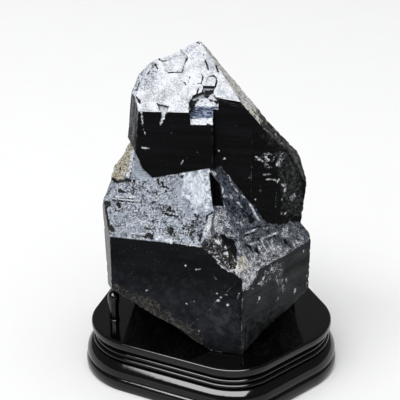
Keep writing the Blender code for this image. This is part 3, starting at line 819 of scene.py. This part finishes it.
def relief(kind, point, u, v):
    """How far the real surface stands out from the flat face."""
    if kind in LUMPS:
        return lumps(point, LUMPS[kind])
    height = 0.0
    for share, *grains in GRAINS.get(kind, PLAIN_GRAINS):
        height += share * grain(u, v, *grains)
    if kind in TERRACES:
        share, *grains = TERRACES[kind]
        height += share * stepped(grain(u, v, *grains), TERRACE_STEPS)
    if kind == "slope":
        height -= PIT_DEPTH * max(0.0, grain(u, v, *PIT_GRAINS) - PIT_RARITY)
    if kind == "slate":
        height += SLANT_HEIGHT * grain(u + v, u - v, *SLANT_GRAINS)
    return height


def sight_line(x, y):
    """The direction in which the camera sees a pixel of the picture."""
    focal = PICTURE * CAMERA_LENS / CAMERA_SENSOR
    ahead = Vector(((x - PICTURE / 2.0) / focal, (PICTURE / 2.0 - y) / focal, -1.0))
    return Matrix.Rotation(math.radians(CAMERA_TILT), 3, 'X') @ ahead


def on_plane(name, line):
    """Pixels of the picture as places across and up a surface's plane."""
    normal, point = plane_of(name)
    across, up = face_axes(normal)
    places = []
    for x, y in line:
        sight = sight_line(x, y)
        away = (point - CAMERA_PLACE).dot(normal) / sight.dot(normal)
        place = CAMERA_PLACE + away * sight - point
        places.append((place.dot(across), place.dot(up)))
    return places


def weight_of(mark, name, places, wobble):
    """How strongly a mark covers each place, from 0 to 1."""
    line = on_plane(name, mark.line)
    if mark.filled:
        inside, gap = inside_and_gap(places, line)
        gap = np.where(inside, -gap, gap) + PATCH_RAGGED * mark.width * wobble
        cover = 0.5 - gap / mark.width
    else:
        gap = gap_to_line(places, line)
        cover = 1.1 + (0.5 * mark.width * (1.0 + LINE_RAGGED * wobble) - gap) / LINE_SOFT
    return mark.strength * np.clip(cover, 0.0, 1.0)


def paint(fine, around):
    """Each point's share of each tone, and how far the marks move it."""
    places = np.array([point[:] for point in fine.points])
    wobble = np.array([lumps(point, RAGGED) for point in fine.points])
    tones = np.zeros((len(places), len(TONES)))
    moves = np.zeros((len(places), 3))
    for name, marks in MARKS.items():
        normal, point = plane_of(name)
        across, up = face_axes(normal)
        ids = np.array([index for index, owners in enumerate(around)
                        if any(fine.names[owner] == name for owner in owners)])
        flat = (places[ids] - np.array(point)) @ np.array([across[:], up[:]]).T
        for mark in marks:
            weight = weight_of(mark, name, flat, wobble[ids])
            column = TONES.index(mark.tone)
            tones[ids, column] = np.maximum(tones[ids, column], weight)
            moves[ids] += mark.depth * weight[:, None] * np.array(normal)
    return tones, moves


def swell(point):
    """How far a point moves where the real crystal is fuller than its flat faces."""
    total = Vector((0.0, 0.0, 0.0))
    for middle, radius, shift in SWELLS:
        gap = (point - Vector(middle) - SHIFT).length
        total += Vector(shift) * math.exp(-(gap / radius) ** 2)
    return total


def edge_chip(point, inward):
    """Sharp edges are chipped here and there."""
    chip = noise.noise(point / CHIP_SIZE + CHIPS_START)
    return inward * min(CHIP_DEPTH, CHIP_STEEPNESS * max(0.0, chip - CHIP_RARITY))


def moved_points(fine, around, rim, moves):
    """Every point, moved by its faces' relief, the marks and the edge chips."""
    moved = []
    for index, point in enumerate(fine.points):
        shift = Vector((0.0, 0.0, 0.0))
        inward = Vector((0.0, 0.0, 0.0))
        for owner, count in around[index].items():
            normal = fine.normals[owner]
            across, up = face_axes(normal)
            height = relief(fine.kinds[owner], point, point.dot(across), point.dot(up))
            shift += normal * height * count
            inward -= normal
        shift /= max(1, sum(around[index].values()))
        kinds = {fine.kinds[owner] for owner in around[index]}
        if kinds & {"edge", "grain"}:
            shift *= RELIEF_AT_BREAKS
        elif len(kinds) > 1 or rim[index] < 0.01:
            shift *= RELIEF_AT_EDGES
        if rim[index] < 0.01:
            shift += edge_chip(point, inward.normalized())
        moved.append(point + shift + Vector(moves[index]) + swell(point))
    return moved


def crystal_mesh():
    fine = FineMesh()
    around = fine.owners_around()
    rim = fine.rim_gaps()
    tones, moves = paint(fine, around)
    moved = moved_points(fine, around, rim, moves)

    mesh = bpy.data.meshes.new("quartz")
    mesh.from_pydata([(point * MM)[:] for point in moved], [], fine.triangles)
    mesh.validate()
    slots = [KINDS.index(fine.kinds[owner]) for owner in fine.owners]
    mesh.polygons.foreach_set("material_index", slots)
    places = []
    for triangle, owner in zip(fine.triangles, fine.owners):
        across, up = face_axes(fine.normals[owner])
        for index in triangle:
            point = fine.points[index]
            places.extend((point.dot(across), point.dot(up), PATTERN_STEP * (owner % PATTERNS)))
    mesh.attributes.new("face_mm", 'FLOAT_VECTOR', 'CORNER').data.foreach_set("vector", places)
    mesh.attributes.new("rim_mm", 'FLOAT', 'POINT').data.foreach_set("value", rim)
    mesh.attributes.new("marks", 'FLOAT_COLOR', 'POINT').data.foreach_set("color", tones.ravel())
    mesh.shade_smooth()
    mesh.set_sharp_from_angle(angle=math.radians(QUARTZ_SHARP))
    return mesh


# ------------------------------------------------------------------- materials

BLACK = (0.0035, 0.0035, 0.004)
DUST = (0.42, 0.43, 0.43)
# the pale of frost marks, which on the upper crystal also paints glints
FROST_AND_GLINT = (0.76, 0.78, 0.81)
FROST_SHADE = (0.12, 0.13, 0.16)
# Dull, bright and ashy tones: cream crust, ochre stain, and the worn brown of an edge.
CRUST = ((0.34, 0.32, 0.28), (0.82, 0.80, 0.75), (0.50, 0.51, 0.50))
STAIN = ((0.040, 0.036, 0.020), (0.47, 0.425, 0.32), (0.56, 0.57, 0.56))
WORN_BROWN = ((0.007, 0.007, 0.007), (0.042, 0.039, 0.033), (0.10, 0.095, 0.085))
# The roughness of pale and tan marks, and of dark ones.
PALE_ROUGH = 0.55
DARK_ROUGH = 0.4


class Graph:
    """Adds and joins the nodes of one material.

    Noise is given by its size in millimetres, its detail and its roughness.
    """

    def __init__(self, name):
        self.material = bpy.data.materials.new(name)
        self.material.use_nodes = True
        self.tree = self.material.node_tree
        self.shader = self.tree.nodes["Principled BSDF"]

    def put(self, socket, value):
        """Links a socket to an output, or sets it to a number or colour."""
        if hasattr(value, "is_output"):
            self.tree.links.new(value, socket)
        elif socket.type == 'RGBA':
            socket.default_value = (*value, 1)
        else:
            socket.default_value = value

    def node(self, kind, inputs, **settings):
        """Adds a node, links or sets its inputs, and gives its outputs."""
        made = self.tree.nodes.new(kind)
        for name, value in settings.items():
            setattr(made, name, value)
        for name, value in inputs.items():
            self.put(made.inputs[name], value)
        return made.outputs

    def attribute(self, name):
        return self.node('ShaderNodeAttribute', {}, attribute_name=name)

    def mapped(self, vector, **inputs):
        return self.node('ShaderNodeMapping', {"Vector": vector, **inputs})["Vector"]

    def marks(self):
        """The four painted tones, each from 0 to 1."""
        painted = self.attribute("marks")
        parts = self.node('ShaderNodeSeparateColor', {"Color": painted["Color"]})
        return parts["Red"], parts["Green"], parts["Blue"], painted["Alpha"]

    def smooth(self):
        """The smooth tone alone."""
        return self.marks()[3]

    def noise(self, vector, size, detail, rough):
        inputs = {"Vector": vector, "Scale": 1 / size, "Detail": detail, "Roughness": rough}
        return self.node('ShaderNodeTexNoise', inputs)["Fac"]

    def solid(self, size, detail=3, rough=0.55):
        """Noise through the object."""
        place = self.node('ShaderNodeTexCoord', {})["Object"]
        return self.noise(self.mapped(place, Scale=(1 / MM, 1 / MM, 1 / MM)), size, detail, rough)

    def field(self, size, detail=3, rough=0.55, scale=(1, 1), turn=0):
        """Noise over each crystal face, scaled across and up it after a turn."""
        spun = self.mapped(self.attribute("face_mm")["Vector"],
                           Rotation=(0, 0, math.radians(turn)))
        return self.noise(self.mapped(spun, Scale=(*scale, 1)), size, detail, rough)

    def ramp(self, value, low, high):
        """0 below low, 1 above high, straight between them."""
        inputs = {"Value": value, "From Min": low, "From Max": high}
        return self.node('ShaderNodeMapRange', inputs)["Result"]

    def math(self, operation, first, second=0):
        return self.node('ShaderNodeMath', {0: first, 1: second}, operation=operation)["Value"]

    def times(self, first, second):
        return self.math('MULTIPLY', first, second)

    def total(self, *parts):
        """The sum of (value, share) pairs."""
        added = 0
        for value, share in parts:
            added = self.math('ADD', self.times(value, share), added)
        return added

    def mix(self, factor, first, second):
        """Mixes two colours."""
        return self.node('ShaderNodeMix', {0: factor, 6: first, 7: second}, data_type='RGBA')[2]

    def blend(self, factor, first, second):
        """Mixes two numbers."""
        return self.node('ShaderNodeMix', {0: factor, 2: first, 3: second}, data_type='FLOAT')[0]

    def shade(self, value, low, high, first, second):
        """From one colour to the other as the value rises from low to high."""
        return self.mix(self.ramp(value, low, high), first, second)

    def bump(self, height, distance, strength, **below):
        """A bumped normal; the distance is in millimetres."""
        inputs = {"Strength": strength, "Distance": distance * MM, "Height": height, **below}
        return self.node('ShaderNodeBump', inputs)["Normal"]

    def specks(self, size, low, high, strength):
        """Fine pale specks strewn over the surface."""
        return self.times(self.ramp(self.solid(size, 2, 0.6), low, high), strength)

    def veins(self, size, width, strength):
        """Thin pale lines, like the edges of small steps."""
        away = self.math('ABSOLUTE', self.math('SUBTRACT', self.field(size, 4, 0.7), 0.5))
        return self.times(self.ramp(away, width, 0), strength)

    def worn_rim(self, width, strength):
        """Broken pale wear along sharp edges."""
        near = self.ramp(self.attribute("rim_mm")["Fac"], width, 0)
        broken = self.ramp(self.solid(4, 5, 0.7), 0.5, 0.62)
        return self.times(self.times(near, broken), strength)

    def dusted(self, colour, specks, rim, dust=DUST):
        """The colour under pale specks and worn rims, given as their measures."""
        flecks = self.math('MAXIMUM', self.specks(*specks), self.worn_rim(*rim))
        return self.mix(flecks, colour, dust)

    def marked(self, colour, rough, frost=FROST_AND_GLINT, earth=STAIN):
        """The colour and roughness with the painted marks laid over them.

        A mark's strength is how densely its grains lie, so that every mark
        breaks up as real frosting, bruising and staining do, and as painted glints do.
        """
        dark, pale, tan, _ = self.marks()
        tooth = self.math('SUBTRACT', self.solid(0.55, 6, 0.8), 0.5)
        breaks = self.math('SUBTRACT', self.solid(2.4, 2, 0.5), 0.5)
        grit = self.solid(0.9, 6, 0.8)
        dull, bright, ash = earth
        stained = self.shade(grit, 0.43, 0.56, dull, bright)
        ashy = self.ramp(self.solid(1.9, 3, 0.6), 0.51, 0.57)
        stained = self.mix(self.times(ashy, 0.7), stained, ash)
        colour = self.mix(self.grains(tan, tooth, breaks, 1.8, 0.6), colour, stained)
        pale = self.grains(pale, tooth, breaks, 3, 1.2)
        colour = self.mix(pale, colour, self.shade(grit, 0.41, 0.55, FROST_SHADE, frost))
        dark = self.grains(dark, tooth, breaks, 2.6, 1.8)
        colour = self.mix(dark, colour, BLACK)
        rough = self.blend(self.math('MAXIMUM', pale, tan), rough, PALE_ROUGH)
        return colour, self.blend(dark, rough, DARK_ROUGH)

    def grains(self, density, tooth, breaks, fine, coarse):
        """1 on the grains of a mark of this density, 0 between them."""
        level = self.total((density, 1), (tooth, fine), (breaks, coarse))
        return self.times(self.ramp(level, 0.42, 0.62), self.ramp(density, 0.02, 0.12))

    def finish(self, colour, rough, specular, normal=None):
        """The finished material, from its roughness and its specular level."""
        self.put(self.shader.inputs["Base Color"], colour)
        self.put(self.shader.inputs["Roughness"], rough)
        if normal is not None:
            self.put(self.shader.inputs["Normal"], normal)
        self.shader.inputs["Specular IOR Level"].default_value = specular
        self.shader.inputs["Metallic"].default_value = 0
        return self.material


def cap_material():
    """The upper termination: near-white frost, mottled with fine grey; its white is partly painted sheen.
    """
    g = Graph("quartz_cap")
    mottle = g.field(0.9, 7, 0.8)
    clouds = g.field(6, 3)
    tone = g.total((mottle, 0.65), (clouds, 0.35))
    white = g.shade(tone, 0.4, 0.54, (0.27, 0.29, 0.34), (0.79, 0.81, 0.84))
    white = g.mix(g.veins(2.2, 0.014, 0.5), white, (0.16, 0.17, 0.22))
    grey = g.shade(mottle, 0.42, 0.56, (0.06, 0.07, 0.1), (0.7, 0.73, 0.79))
    colour = g.mix(g.smooth(), white, grey)
    return g.finish(*g.marked(colour, 0.45), 0.03, g.bump(mottle, 0.12, 0.6))


def tab_material():
    """The floor of the step: pale blue, partly painted sheen as on the cap, with a dark band etched in
    level lines.
    """
    g = Graph("quartz_tab")
    mottle = g.field(0.9, 6, 0.78)
    level = g.field(0.7, 6, 0.75, (0.35, 1))
    light = g.shade(mottle, 0.38, 0.52, (0.24, 0.27, 0.34), (0.84, 0.86, 0.9))
    etched = g.shade(level, 0.47, 0.6, (0.01, 0.018, 0.045), (0.32, 0.38, 0.52))
    colour = g.mix(g.smooth(), light, etched)
    return g.finish(*g.marked(colour, 0.4), 0.03, g.bump(mottle, 0.12, 0.6))


def slope_material():
    """The lower terminations: crisp grey and white etching, black in its pits; their pale tone is partly
    painted sheen.
    """
    g = Graph("quartz_slope")
    etch = g.field(1.5, 6, 0.7)
    fleck = g.field(0.6, 4, 0.7)
    clouds = g.field(5, 3)
    tone = g.total((etch, 0.45), (fleck, 0.23), (clouds, 0.32))
    tone = g.ramp(tone, 0.445, 0.55)
    mottled = g.mix(tone, (0.012, 0.014, 0.02), (0.285, 0.325, 0.39))
    mottled = g.mix(g.specks(0.8, 0.52, 0.6, 0.55), mottled, (0.74, 0.765, 0.8))
    streaks = g.field(0.7, 6, 0.75, (1, 0.22), -24)
    fine = g.shade(streaks, 0.4, 0.58, (0.34, 0.385, 0.45), (0.72, 0.76, 0.8))
    level = g.field(0.8, 6, 0.75, (0.2, 1), -4)
    slaty = g.shade(level, 0.4, 0.6, (0.15, 0.18, 0.23), (0.38, 0.42, 0.48))
    smooth = g.total((g.smooth(), 1), (etch, 1), (-0.5, 1))
    # the smooth right part is painted bright, as sheen
    polish_and_sheen = g.shade(smooth, 0.62, 0.95, slaty, fine)
    colour = g.shade(smooth, 0.15, 0.5, mottled, polish_and_sheen)
    return g.finish(*g.marked(colour, g.blend(tone, 0.3, 0.5)), 0.03, g.bump(etch, 0.25, 0.8))


def slate_material():
    """The right-hand facet: slate blue, with fine streaks down its slope."""
    g = Graph("quartz_slate")
    streaks = g.field(0.9, 6, 0.75, (1, 0.25))
    etch = g.field(1.3, 6, 0.72)
    tone = g.total((streaks, 0.5), (etch, 0.5))
    base = g.shade(tone, 0.45, 0.56, (0.006, 0.008, 0.012), (0.088, 0.1, 0.13))
    colour = g.mix(g.specks(0.9, 0.66, 0.72, 0.8), base, (0.34, 0.37, 0.42))
    colour = g.mix(g.smooth(), colour, (0.1, 0.1, 0.13))
    return g.finish(*g.marked(colour, 0.35), 0.04, g.bump(tone, 0.22, 0.8))


def fan_material():
    """The broken slope under the facet: slate, brushed with pale level lines."""
    g = Graph("quartz_fan")
    etch = g.field(0.9, 6, 0.78)
    clouds = g.field(5, 3)
    level = g.field(0.8, 5, 0.75, (0.16, 1), 4)
    down = g.field(0.8, 5, 0.75, (1, 0.25), -12)
    tone = g.total((etch, 0.35), (clouds, 0.2), (level, 0.3), (down, 0.15))
    tone = g.ramp(tone, 0.46, 0.55)
    colour = g.mix(tone, (0.007, 0.008, 0.011), (0.14, 0.152, 0.182))
    return g.finish(*g.marked(colour, 0.4), 0.04, g.bump(etch, 0.25, 0.8))


def chip_material():
    """The chipped corner: black glassy scoops with white flecks."""
    g = Graph("quartz_chip")
    etch = g.solid(0.8, 6, 0.8)
    tone = g.ramp(etch, 0.52, 0.6)
    colour = g.mix(tone, (0.006, 0.006, 0.008), (0.12, 0.13, 0.15))
    dark, pale, tan, _ = g.marks()
    black = g.mix(g.specks(0.8, 0.59, 0.63, 0.8), BLACK, (0.5, 0.51, 0.53))
    colour = g.shade(dark, 0.3, 0.7, colour, black)
    colour = g.mix(g.times(pale, g.ramp(etch, 0.42, 0.54)), colour, FROST_AND_GLINT)
    colour = g.shade(tan, 0.3, 0.6, colour, g.shade(etch, 0.38, 0.6, *CRUST[:2]))
    return g.finish(colour, g.blend(tone, 0.22, 0.5), 0.08, g.bump(etch, 0.35, 0.9))


def side_material(name, deep, light, earth):
    """A lower side: charcoal, with growth lines, clouds and specks."""
    g = Graph(name)
    lines = g.field(0.7, 4, 0.6, (0.03, 1))
    clouds = g.field(8, 6, 0.65, (0.6, 1))
    bands = g.field(3, 3, scale=(0.05, 1))
    tone = g.total((clouds, 0.55), (bands, 0.27), (lines, 0.18))
    colour = g.shade(tone, 0.4, 0.6, deep, light)
    haze = g.shade(g.solid(5, 5, 0.65), 0.4, 0.62, (0.008, 0.009, 0.012), (0.034, 0.035, 0.044))
    colour = g.mix(g.smooth(), colour, haze)
    colour = g.dusted(colour, (0.45, 0.7, 0.75, 0.4), (0.4, 0.35))
    marked = g.marked(colour, g.blend(clouds, 0.22, 0.38), earth=earth)
    return g.finish(*marked, 0.045, g.bump(lines, 0.05, 0.8))


def front_material():
    return side_material("quartz_front", (0.0014, 0.0019, 0.0022), (0.005, 0.006, 0.007),
                         WORN_BROWN)


def right_material():
    return side_material("quartz_right", (0.006, 0.0074, 0.0072), (0.03, 0.033, 0.035), CRUST)


def dark_material():
    """The upper crystal's sides: black, with faint lines and a few specks."""
    g = Graph("quartz_dark")
    lines = g.field(0.7, 4, 0.6, (0.03, 1))
    bands = g.field(3.5, 3, scale=(0.06, 1))
    colour = g.shade(bands, 0.4, 0.66, (0.001, 0.0011, 0.0014), (0.0034, 0.0036, 0.0044))
    soft = g.solid(1.5, 6, 0.78)
    soft = g.shade(soft, 0.46, 0.64, (0.003, 0.0038, 0.0036), (0.055, 0.06, 0.058))
    ragged = g.total((g.smooth(), 1), (g.solid(4), 1), (-0.5, 1))
    colour = g.shade(ragged, 0.2, 0.7, colour, soft)
    colour = g.dusted(colour, (0.6, 0.73, 0.78, 0.3), (0.35, 0.14))
    return g.finish(*g.marked(colour, g.blend(bands, 0.18, 0.32)), 0.045, g.bump(lines, 0.05, 0.8))


def stripe_material():
    """The upper left sides: upright grey and black stripes."""
    g = Graph("quartz_stripe")
    stripes = g.field(2, 6, 0.75, (1, 0.06))
    clouds = g.field(4, 4)
    tone = g.ramp(g.total((stripes, 0.75), (clouds, 0.25)), 0.5, 0.57)
    colour = g.mix(tone, (0.004, 0.004, 0.006), (0.13, 0.135, 0.145))
    colour = g.dusted(colour, (0.7, 0.62, 0.68, 0.6), (0.6, 0.6), (0.5, 0.51, 0.51))
    return g.finish(colour, 0.4, 0.06, g.bump(stripes, 0.2, 0.8))


def flank_material():
    """The left flank of the shoulder: pale, weathered and stained."""
    g = Graph("quartz_flank")
    etch = g.solid(1.2, 6, 0.72)
    colour = g.shade(etch, 0.4, 0.6, (0.05, 0.05, 0.04), (0.5, 0.5, 0.47))
    return g.finish(*g.marked(colour, 0.5), 0.15, g.bump(etch, 0.3, 0.9))


def sliver_material():
    """The narrow left side: light grey-green, streaked upright."""
    g = Graph("quartz_sliver")
    streaks = g.field(1.4, 5, 0.65, (1, 0.12))
    colour = g.shade(streaks, 0.45, 0.56, (0.04, 0.045, 0.035), (0.42, 0.43, 0.4))
    return g.finish(colour, 0.45, 0.1, g.bump(streaks, 0.2, 0.8))


def grain_material():
    """The long break: sugary, white and cream over black."""
    g = Graph("quartz_grain")
    etch = g.solid(2.6, 4, 0.66)
    fleck = g.solid(1, 3, 0.65)
    clouds = g.solid(6, 2)
    tone = g.ramp(g.total((etch, 0.6), (fleck, 0.4)), 0.475, 0.515)
    dull = g.shade(clouds, 0.42, 0.58, (0.006, 0.007, 0.006), (0.028, 0.03, 0.018))
    bright = g.shade(clouds, 0.4, 0.6, (0.7, 0.7, 0.72), (0.66, 0.63, 0.5))
    colour = g.mix(tone, dull, bright)
    colour = g.marked(colour, 0.5, frost=(0.84, 0.84, 0.83))[0]
    return g.finish(colour, g.blend(tone, 0.3, 0.55), 0.12, g.bump(etch, 0.4, 0.9))


def edge_material():
    """The upper crystal's right edge: black and brown-green, flecked with grey."""
    g = Graph("quartz_edge")
    etch = g.solid(1.4, 5, 0.7)
    stain = g.solid(4, 3)
    base = g.shade(stain, 0.42, 0.6, (0.004, 0.005, 0.005), (0.022, 0.023, 0.013))
    colour = g.shade(etch, 0.55, 0.61, base, (0.16, 0.165, 0.15))
    return g.finish(colour, 0.38, 0.06, g.bump(etch, 0.4, 0.9))


def rough_material():
    """Other broken surfaces: black glassy scoops, speckled grey."""
    g = Graph("quartz_rough")
    etch = g.solid(1.1, 6, 0.75)
    clouds = g.solid(6, 3)
    tone = g.ramp(g.total((etch, 0.7), (clouds, 0.3)), 0.51, 0.63)
    colour = g.mix(tone, (0.008, 0.008, 0.009), (0.22, 0.22, 0.21))
    return g.finish(colour, g.blend(tone, 0.22, 0.55), 0.4, g.bump(etch, 0.4, 0.9))


def wall_material():
    """The walls of the steps and the slot: black, with a few glints."""
    g = Graph("quartz_wall")
    etch = g.solid(0.8, 4, 0.7)
    colour = g.shade(etch, 0.64, 0.7, (0.0016, 0.0016, 0.002), (0.12, 0.11, 0.09))
    return g.finish(colour, 0.35, 0.15, g.bump(etch, 0.2, 0.7))


def back_material():
    """Sides that face away: black, with growth lines, clouds and specks."""
    g = Graph("quartz_back")
    lines = g.field(0.8, 4, 0.6, (0.03, 1))
    clouds = g.field(9, 4, scale=(0.5, 1))
    tone = g.ramp(g.total((clouds, 0.7), (lines, 0.3)), 0.42, 0.62)
    colour = g.mix(tone, (0.0026, 0.003, 0.0033), (0.011, 0.012, 0.0125))
    colour = g.dusted(colour, (0.8, 0.7, 0.76, 0.35), (0.5, 0.35))
    return g.finish(colour, g.blend(clouds, 0.2, 0.36), 0.15, g.bump(lines, 0.06, 0.8))


def lacquer_material():
    """Black lacquer: deep gloss over a slightly uneven brushed coat."""
    g = Graph("lacquer_gloss")
    waves = g.solid(8, 2)
    brushed = g.solid(1.1, 4, 0.7)
    dust = g.specks(0.5, 0.72, 0.77, 0.3)
    colour = g.mix(dust, (0.0012, 0.0012, 0.0014), (0.25, 0.25, 0.25))
    normal = g.bump(brushed, 0.02, 0.6, Normal=g.bump(waves, 0.12, 0.4))
    return g.finish(colour, g.blend(brushed, 0.04, 0.14), 0.3, normal)


CRYSTAL_MATERIALS = {
    "cap": cap_material, "tab": tab_material, "slope": slope_material, "flank": flank_material,
    "slate": slate_material, "fan": fan_material, "chip": chip_material, "front": front_material,
    "right": right_material, "sliver": sliver_material, "dark": dark_material,
    "stripe": stripe_material, "edge": edge_material, "grain": grain_material,
    "rough": rough_material, "wall": wall_material, "back": back_material,
}


def placed(name, data):
    """A new object in the scene."""
    made = bpy.data.objects.new(name, data)
    bpy.context.scene.collection.objects.link(made)
    return made


def crystal():
    mesh = crystal_mesh()
    for kind in KINDS:
        mesh.materials.append(CRYSTAL_MATERIALS[kind]())
    piece = placed("quartz_specimen", mesh)
    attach(piece, "root")
    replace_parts(piece, "crystal")


# ------------------------------------------------------------------- the stand

def arc(middle, radii, ends):
    """Points (height, offset) along an elliptical arc; 0 degrees faces out, 90 up."""
    points = []
    for step in range(ARC_STEPS + 1):
        angle = math.radians(ends[0] + (ends[1] - ends[0]) * step / ARC_STEPS)
        points.append((middle[0] + radii[0] * math.sin(angle),
                       middle[1] + radii[1] * math.cos(angle)))
    return points


def stand_profile():
    """The side's profile from the plate's top to the floor."""
    return (*smoothed(PLATE_EDGE, 4), *GROOVE, *arc(*UPPER_BEAD), *arc(*LOWER_BEAD), OVOLO_SEAM,
            *smoothed(OVOLO, 4), TORUS_SEAM, *arc(*TORUS), *FOOT)


def side_crossing(first, second, offset):
    """Where two sides meet, when both stand further out by offset."""
    angle_a, distance_a = first[:2]
    angle_b, distance_b = second[:2]
    ax, ay = math.cos(math.radians(angle_a)), math.sin(math.radians(angle_a))
    bx, by = math.cos(math.radians(angle_b)), math.sin(math.radians(angle_b))
    reach_a, reach_b = distance_a + offset, distance_b + offset
    scale = ax * by - ay * bx
    return Vector(((reach_a * by - reach_b * ay) / scale, (ax * reach_b - bx * reach_a) / scale))


def stand_outline(offset):
    """The rounded five-sided plan, counterclockwise, moved out by offset."""
    points = []
    count = len(STAND_SIDES)
    for index in range(count):
        first = STAND_SIDES[index]
        second = STAND_SIDES[(index + 1) % count]
        start, _, corner = first
        middle = side_crossing(first, second, -corner)
        turn = (second[0] - start) % 360.0
        radius = corner + offset
        for step in range(CORNER_STEPS + 1):
            angle = math.radians(start + turn * step / CORNER_STEPS)
            points.append(middle + radius * Vector((math.cos(angle), math.sin(angle))))
    return points


def claw(place, height, face):
    """A waisted post with a rounded head, cut to the crystal face it holds."""
    profile = smoothed([*CLAW_ROOT, *((height + rise, share) for rise, share in CLAW_HEAD)], 3)
    post = bmesh.new()
    rings = []
    for rise, share in profile[::-1]:
        half = share * CLAW_WIDTH / 2.0
        ring = []
        for step in range(CLAW_SIDES):
            angle = 2.0 * math.pi * step / CLAW_SIDES
            ring.append((half * math.cos(angle), CLAW_BREADTH * half * math.sin(angle),
                         PLATE_TOP + rise))
        rings.append(ring)
    skin(post, rings)
    facing = math.atan2(place[1], place[0])
    post.transform(Matrix.Translation(Vector((*place, 0.0))) @ Matrix.Rotation(facing, 4, 'Z'))
    azimuth, elevation, point = face
    outward = direction(azimuth, elevation)
    everything = post.verts[:] + post.edges[:] + post.faces[:]
    bmesh.ops.bisect_plane(post, geom=everything, dist=1e-4, plane_no=outward, clear_inner=True,
                           plane_co=Vector(point) + SEAT_GAP * outward)
    bmesh.ops.holes_fill(post, edges=[edge for edge in post.edges if edge.is_boundary], sides=0)
    return post


def smoothed(profile, times):
    """Rounds a profile by cutting its corners, keeping its ends."""
    for _ in range(times):
        finer = [profile[0]]
        for (z0, r0), (z1, r1) in zip(profile, profile[1:]):
            finer.append((0.75 * z0 + 0.25 * z1, 0.75 * r0 + 0.25 * r1))
            finer.append((0.25 * z0 + 0.75 * z1, 0.25 * r0 + 0.75 * r1))
        profile = finer + [profile[-1]]
    return profile


def skin(body, rings):
    """Joins rings of places into one closed skin, from the top ring down."""
    rings = [[body.verts.new(place) for place in ring] for ring in rings]
    for above, below in zip(rings, rings[1:]):
        for index in range(len(above)):
            after = (index + 1) % len(above)
            body.faces.new((above[index], below[index], below[after], above[after]))
    body.faces.new(rings[0])
    body.faces.new(reversed(rings[-1]))


def stand():
    body = bmesh.new()
    skin(body, [[(x, y, height) for x, y in stand_outline(offset)]
                for height, offset in stand_profile()])
    for place, height, face in CLAWS:
        post = claw(place, height, face)
        spare = bpy.data.meshes.new("claw")
        post.to_mesh(spare)
        post.free()
        body.from_mesh(spare)
        bpy.data.meshes.remove(spare)
    body.transform(Matrix.Scale(MM, 4) @ Matrix.Translation(SHIFT))
    mesh = bpy.data.meshes.new("stand_mesh")
    body.to_mesh(mesh)
    body.free()
    mesh.shade_smooth()
    mesh.set_sharp_from_angle(angle=math.radians(STAND_SHARP))
    mesh.materials.append(lacquer_material())
    piece = placed("lacquered_stand", mesh)
    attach(piece, "root")
    return piece


# ------------------------------------------------------------- light and camera

# Sizes and distances here are in metres, and angles in degrees. The lamps look at
# the middle of the object.
FLOOR_HALF = 60.0
PAPER_COLOURS = ((0.85, 0.85, 0.85), (0.87, 0.87, 0.87))
PAPER_MOTTLE_MM = 60
MIDDLE = Vector((0.0, 0.0, 0.08))
KEY_SIZE = (2.6, 0.80)
GLOSS_SIZE = (1.70, 0.84)
ROOM_SPREAD = 110.0
AIR_COLOUR = (0.84, 0.85, 0.88, 1.0)
AIR_STRENGTH = 0.24


def floor():
    mesh = bpy.data.meshes.new("studio_floor")
    corners = [(x * FLOOR_HALF, y * FLOOR_HALF, 0.0) for x, y in ((-1, -1), (1, -1), (1, 1), (-1, 1))]
    mesh.from_pydata(corners, [], [(0, 1, 2, 3)])
    g = Graph("studio_paper")
    colour = g.mix(g.solid(PAPER_MOTTLE_MM, 2), *PAPER_COLOURS)
    mesh.materials.append(g.finish(colour, rough=0.9, specular=0.1))
    made = placed("studio_floor", mesh)


def lamp(name, azimuth, elevation, distance, energy, size=None):
    """A rectangular lamp of a size, or a sun where it has none."""
    light = bpy.data.lights.new(name, 'AREA' if size else 'SUN')
    light.energy = energy
    if size:
        light.shape = 'RECTANGLE'
        light.size, light.size_y = size
    made = placed(name, light)
    toward = direction(azimuth, elevation)
    made.location = MIDDLE + toward * distance
    made.rotation_euler = toward.to_track_quat('Z', 'Y').to_euler()
    return made


def studio():
    floor()
    key = lamp("key_light", azimuth=-44.0, elevation=50.0, distance=2.6, energy=29.0, size=KEY_SIZE)
    key.visible_glossy = False
    # what the lacquer and the polished faces mirror
    gloss = lamp("gloss_light", azimuth=-14.0, elevation=47.0, distance=1.2, energy=86.0,
                 size=GLOSS_SIZE)
    gloss.visible_diffuse = False
    room = lamp("room_light", azimuth=-10.0, elevation=78.0, distance=2.0, energy=2.25)
    room.data.angle = math.radians(ROOM_SPREAD)
    room.visible_glossy = False
    world = bpy.data.worlds.new("studio_air")
    world.use_nodes = True
    air = world.node_tree.nodes["Background"]
    air.inputs["Color"].default_value = AIR_COLOUR
    air.inputs["Strength"].default_value = AIR_STRENGTH
    bpy.context.scene.world = world
    bpy.context.scene.view_settings.view_transform = 'Standard'


def camera():
    view = bpy.data.cameras.new("camera")
    view.lens = CAMERA_LENS
    view.sensor_width = CAMERA_SENSOR
    view.clip_start = 0.01
    made = placed("camera", view)
    made.location = CAMERA_PLACE * MM
    made.rotation_euler = (math.radians(CAMERA_TILT), 0.0, 0.0)
    bpy.context.scene.camera = made


camera()
studio()
crystal()
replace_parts(stand(), "stand")
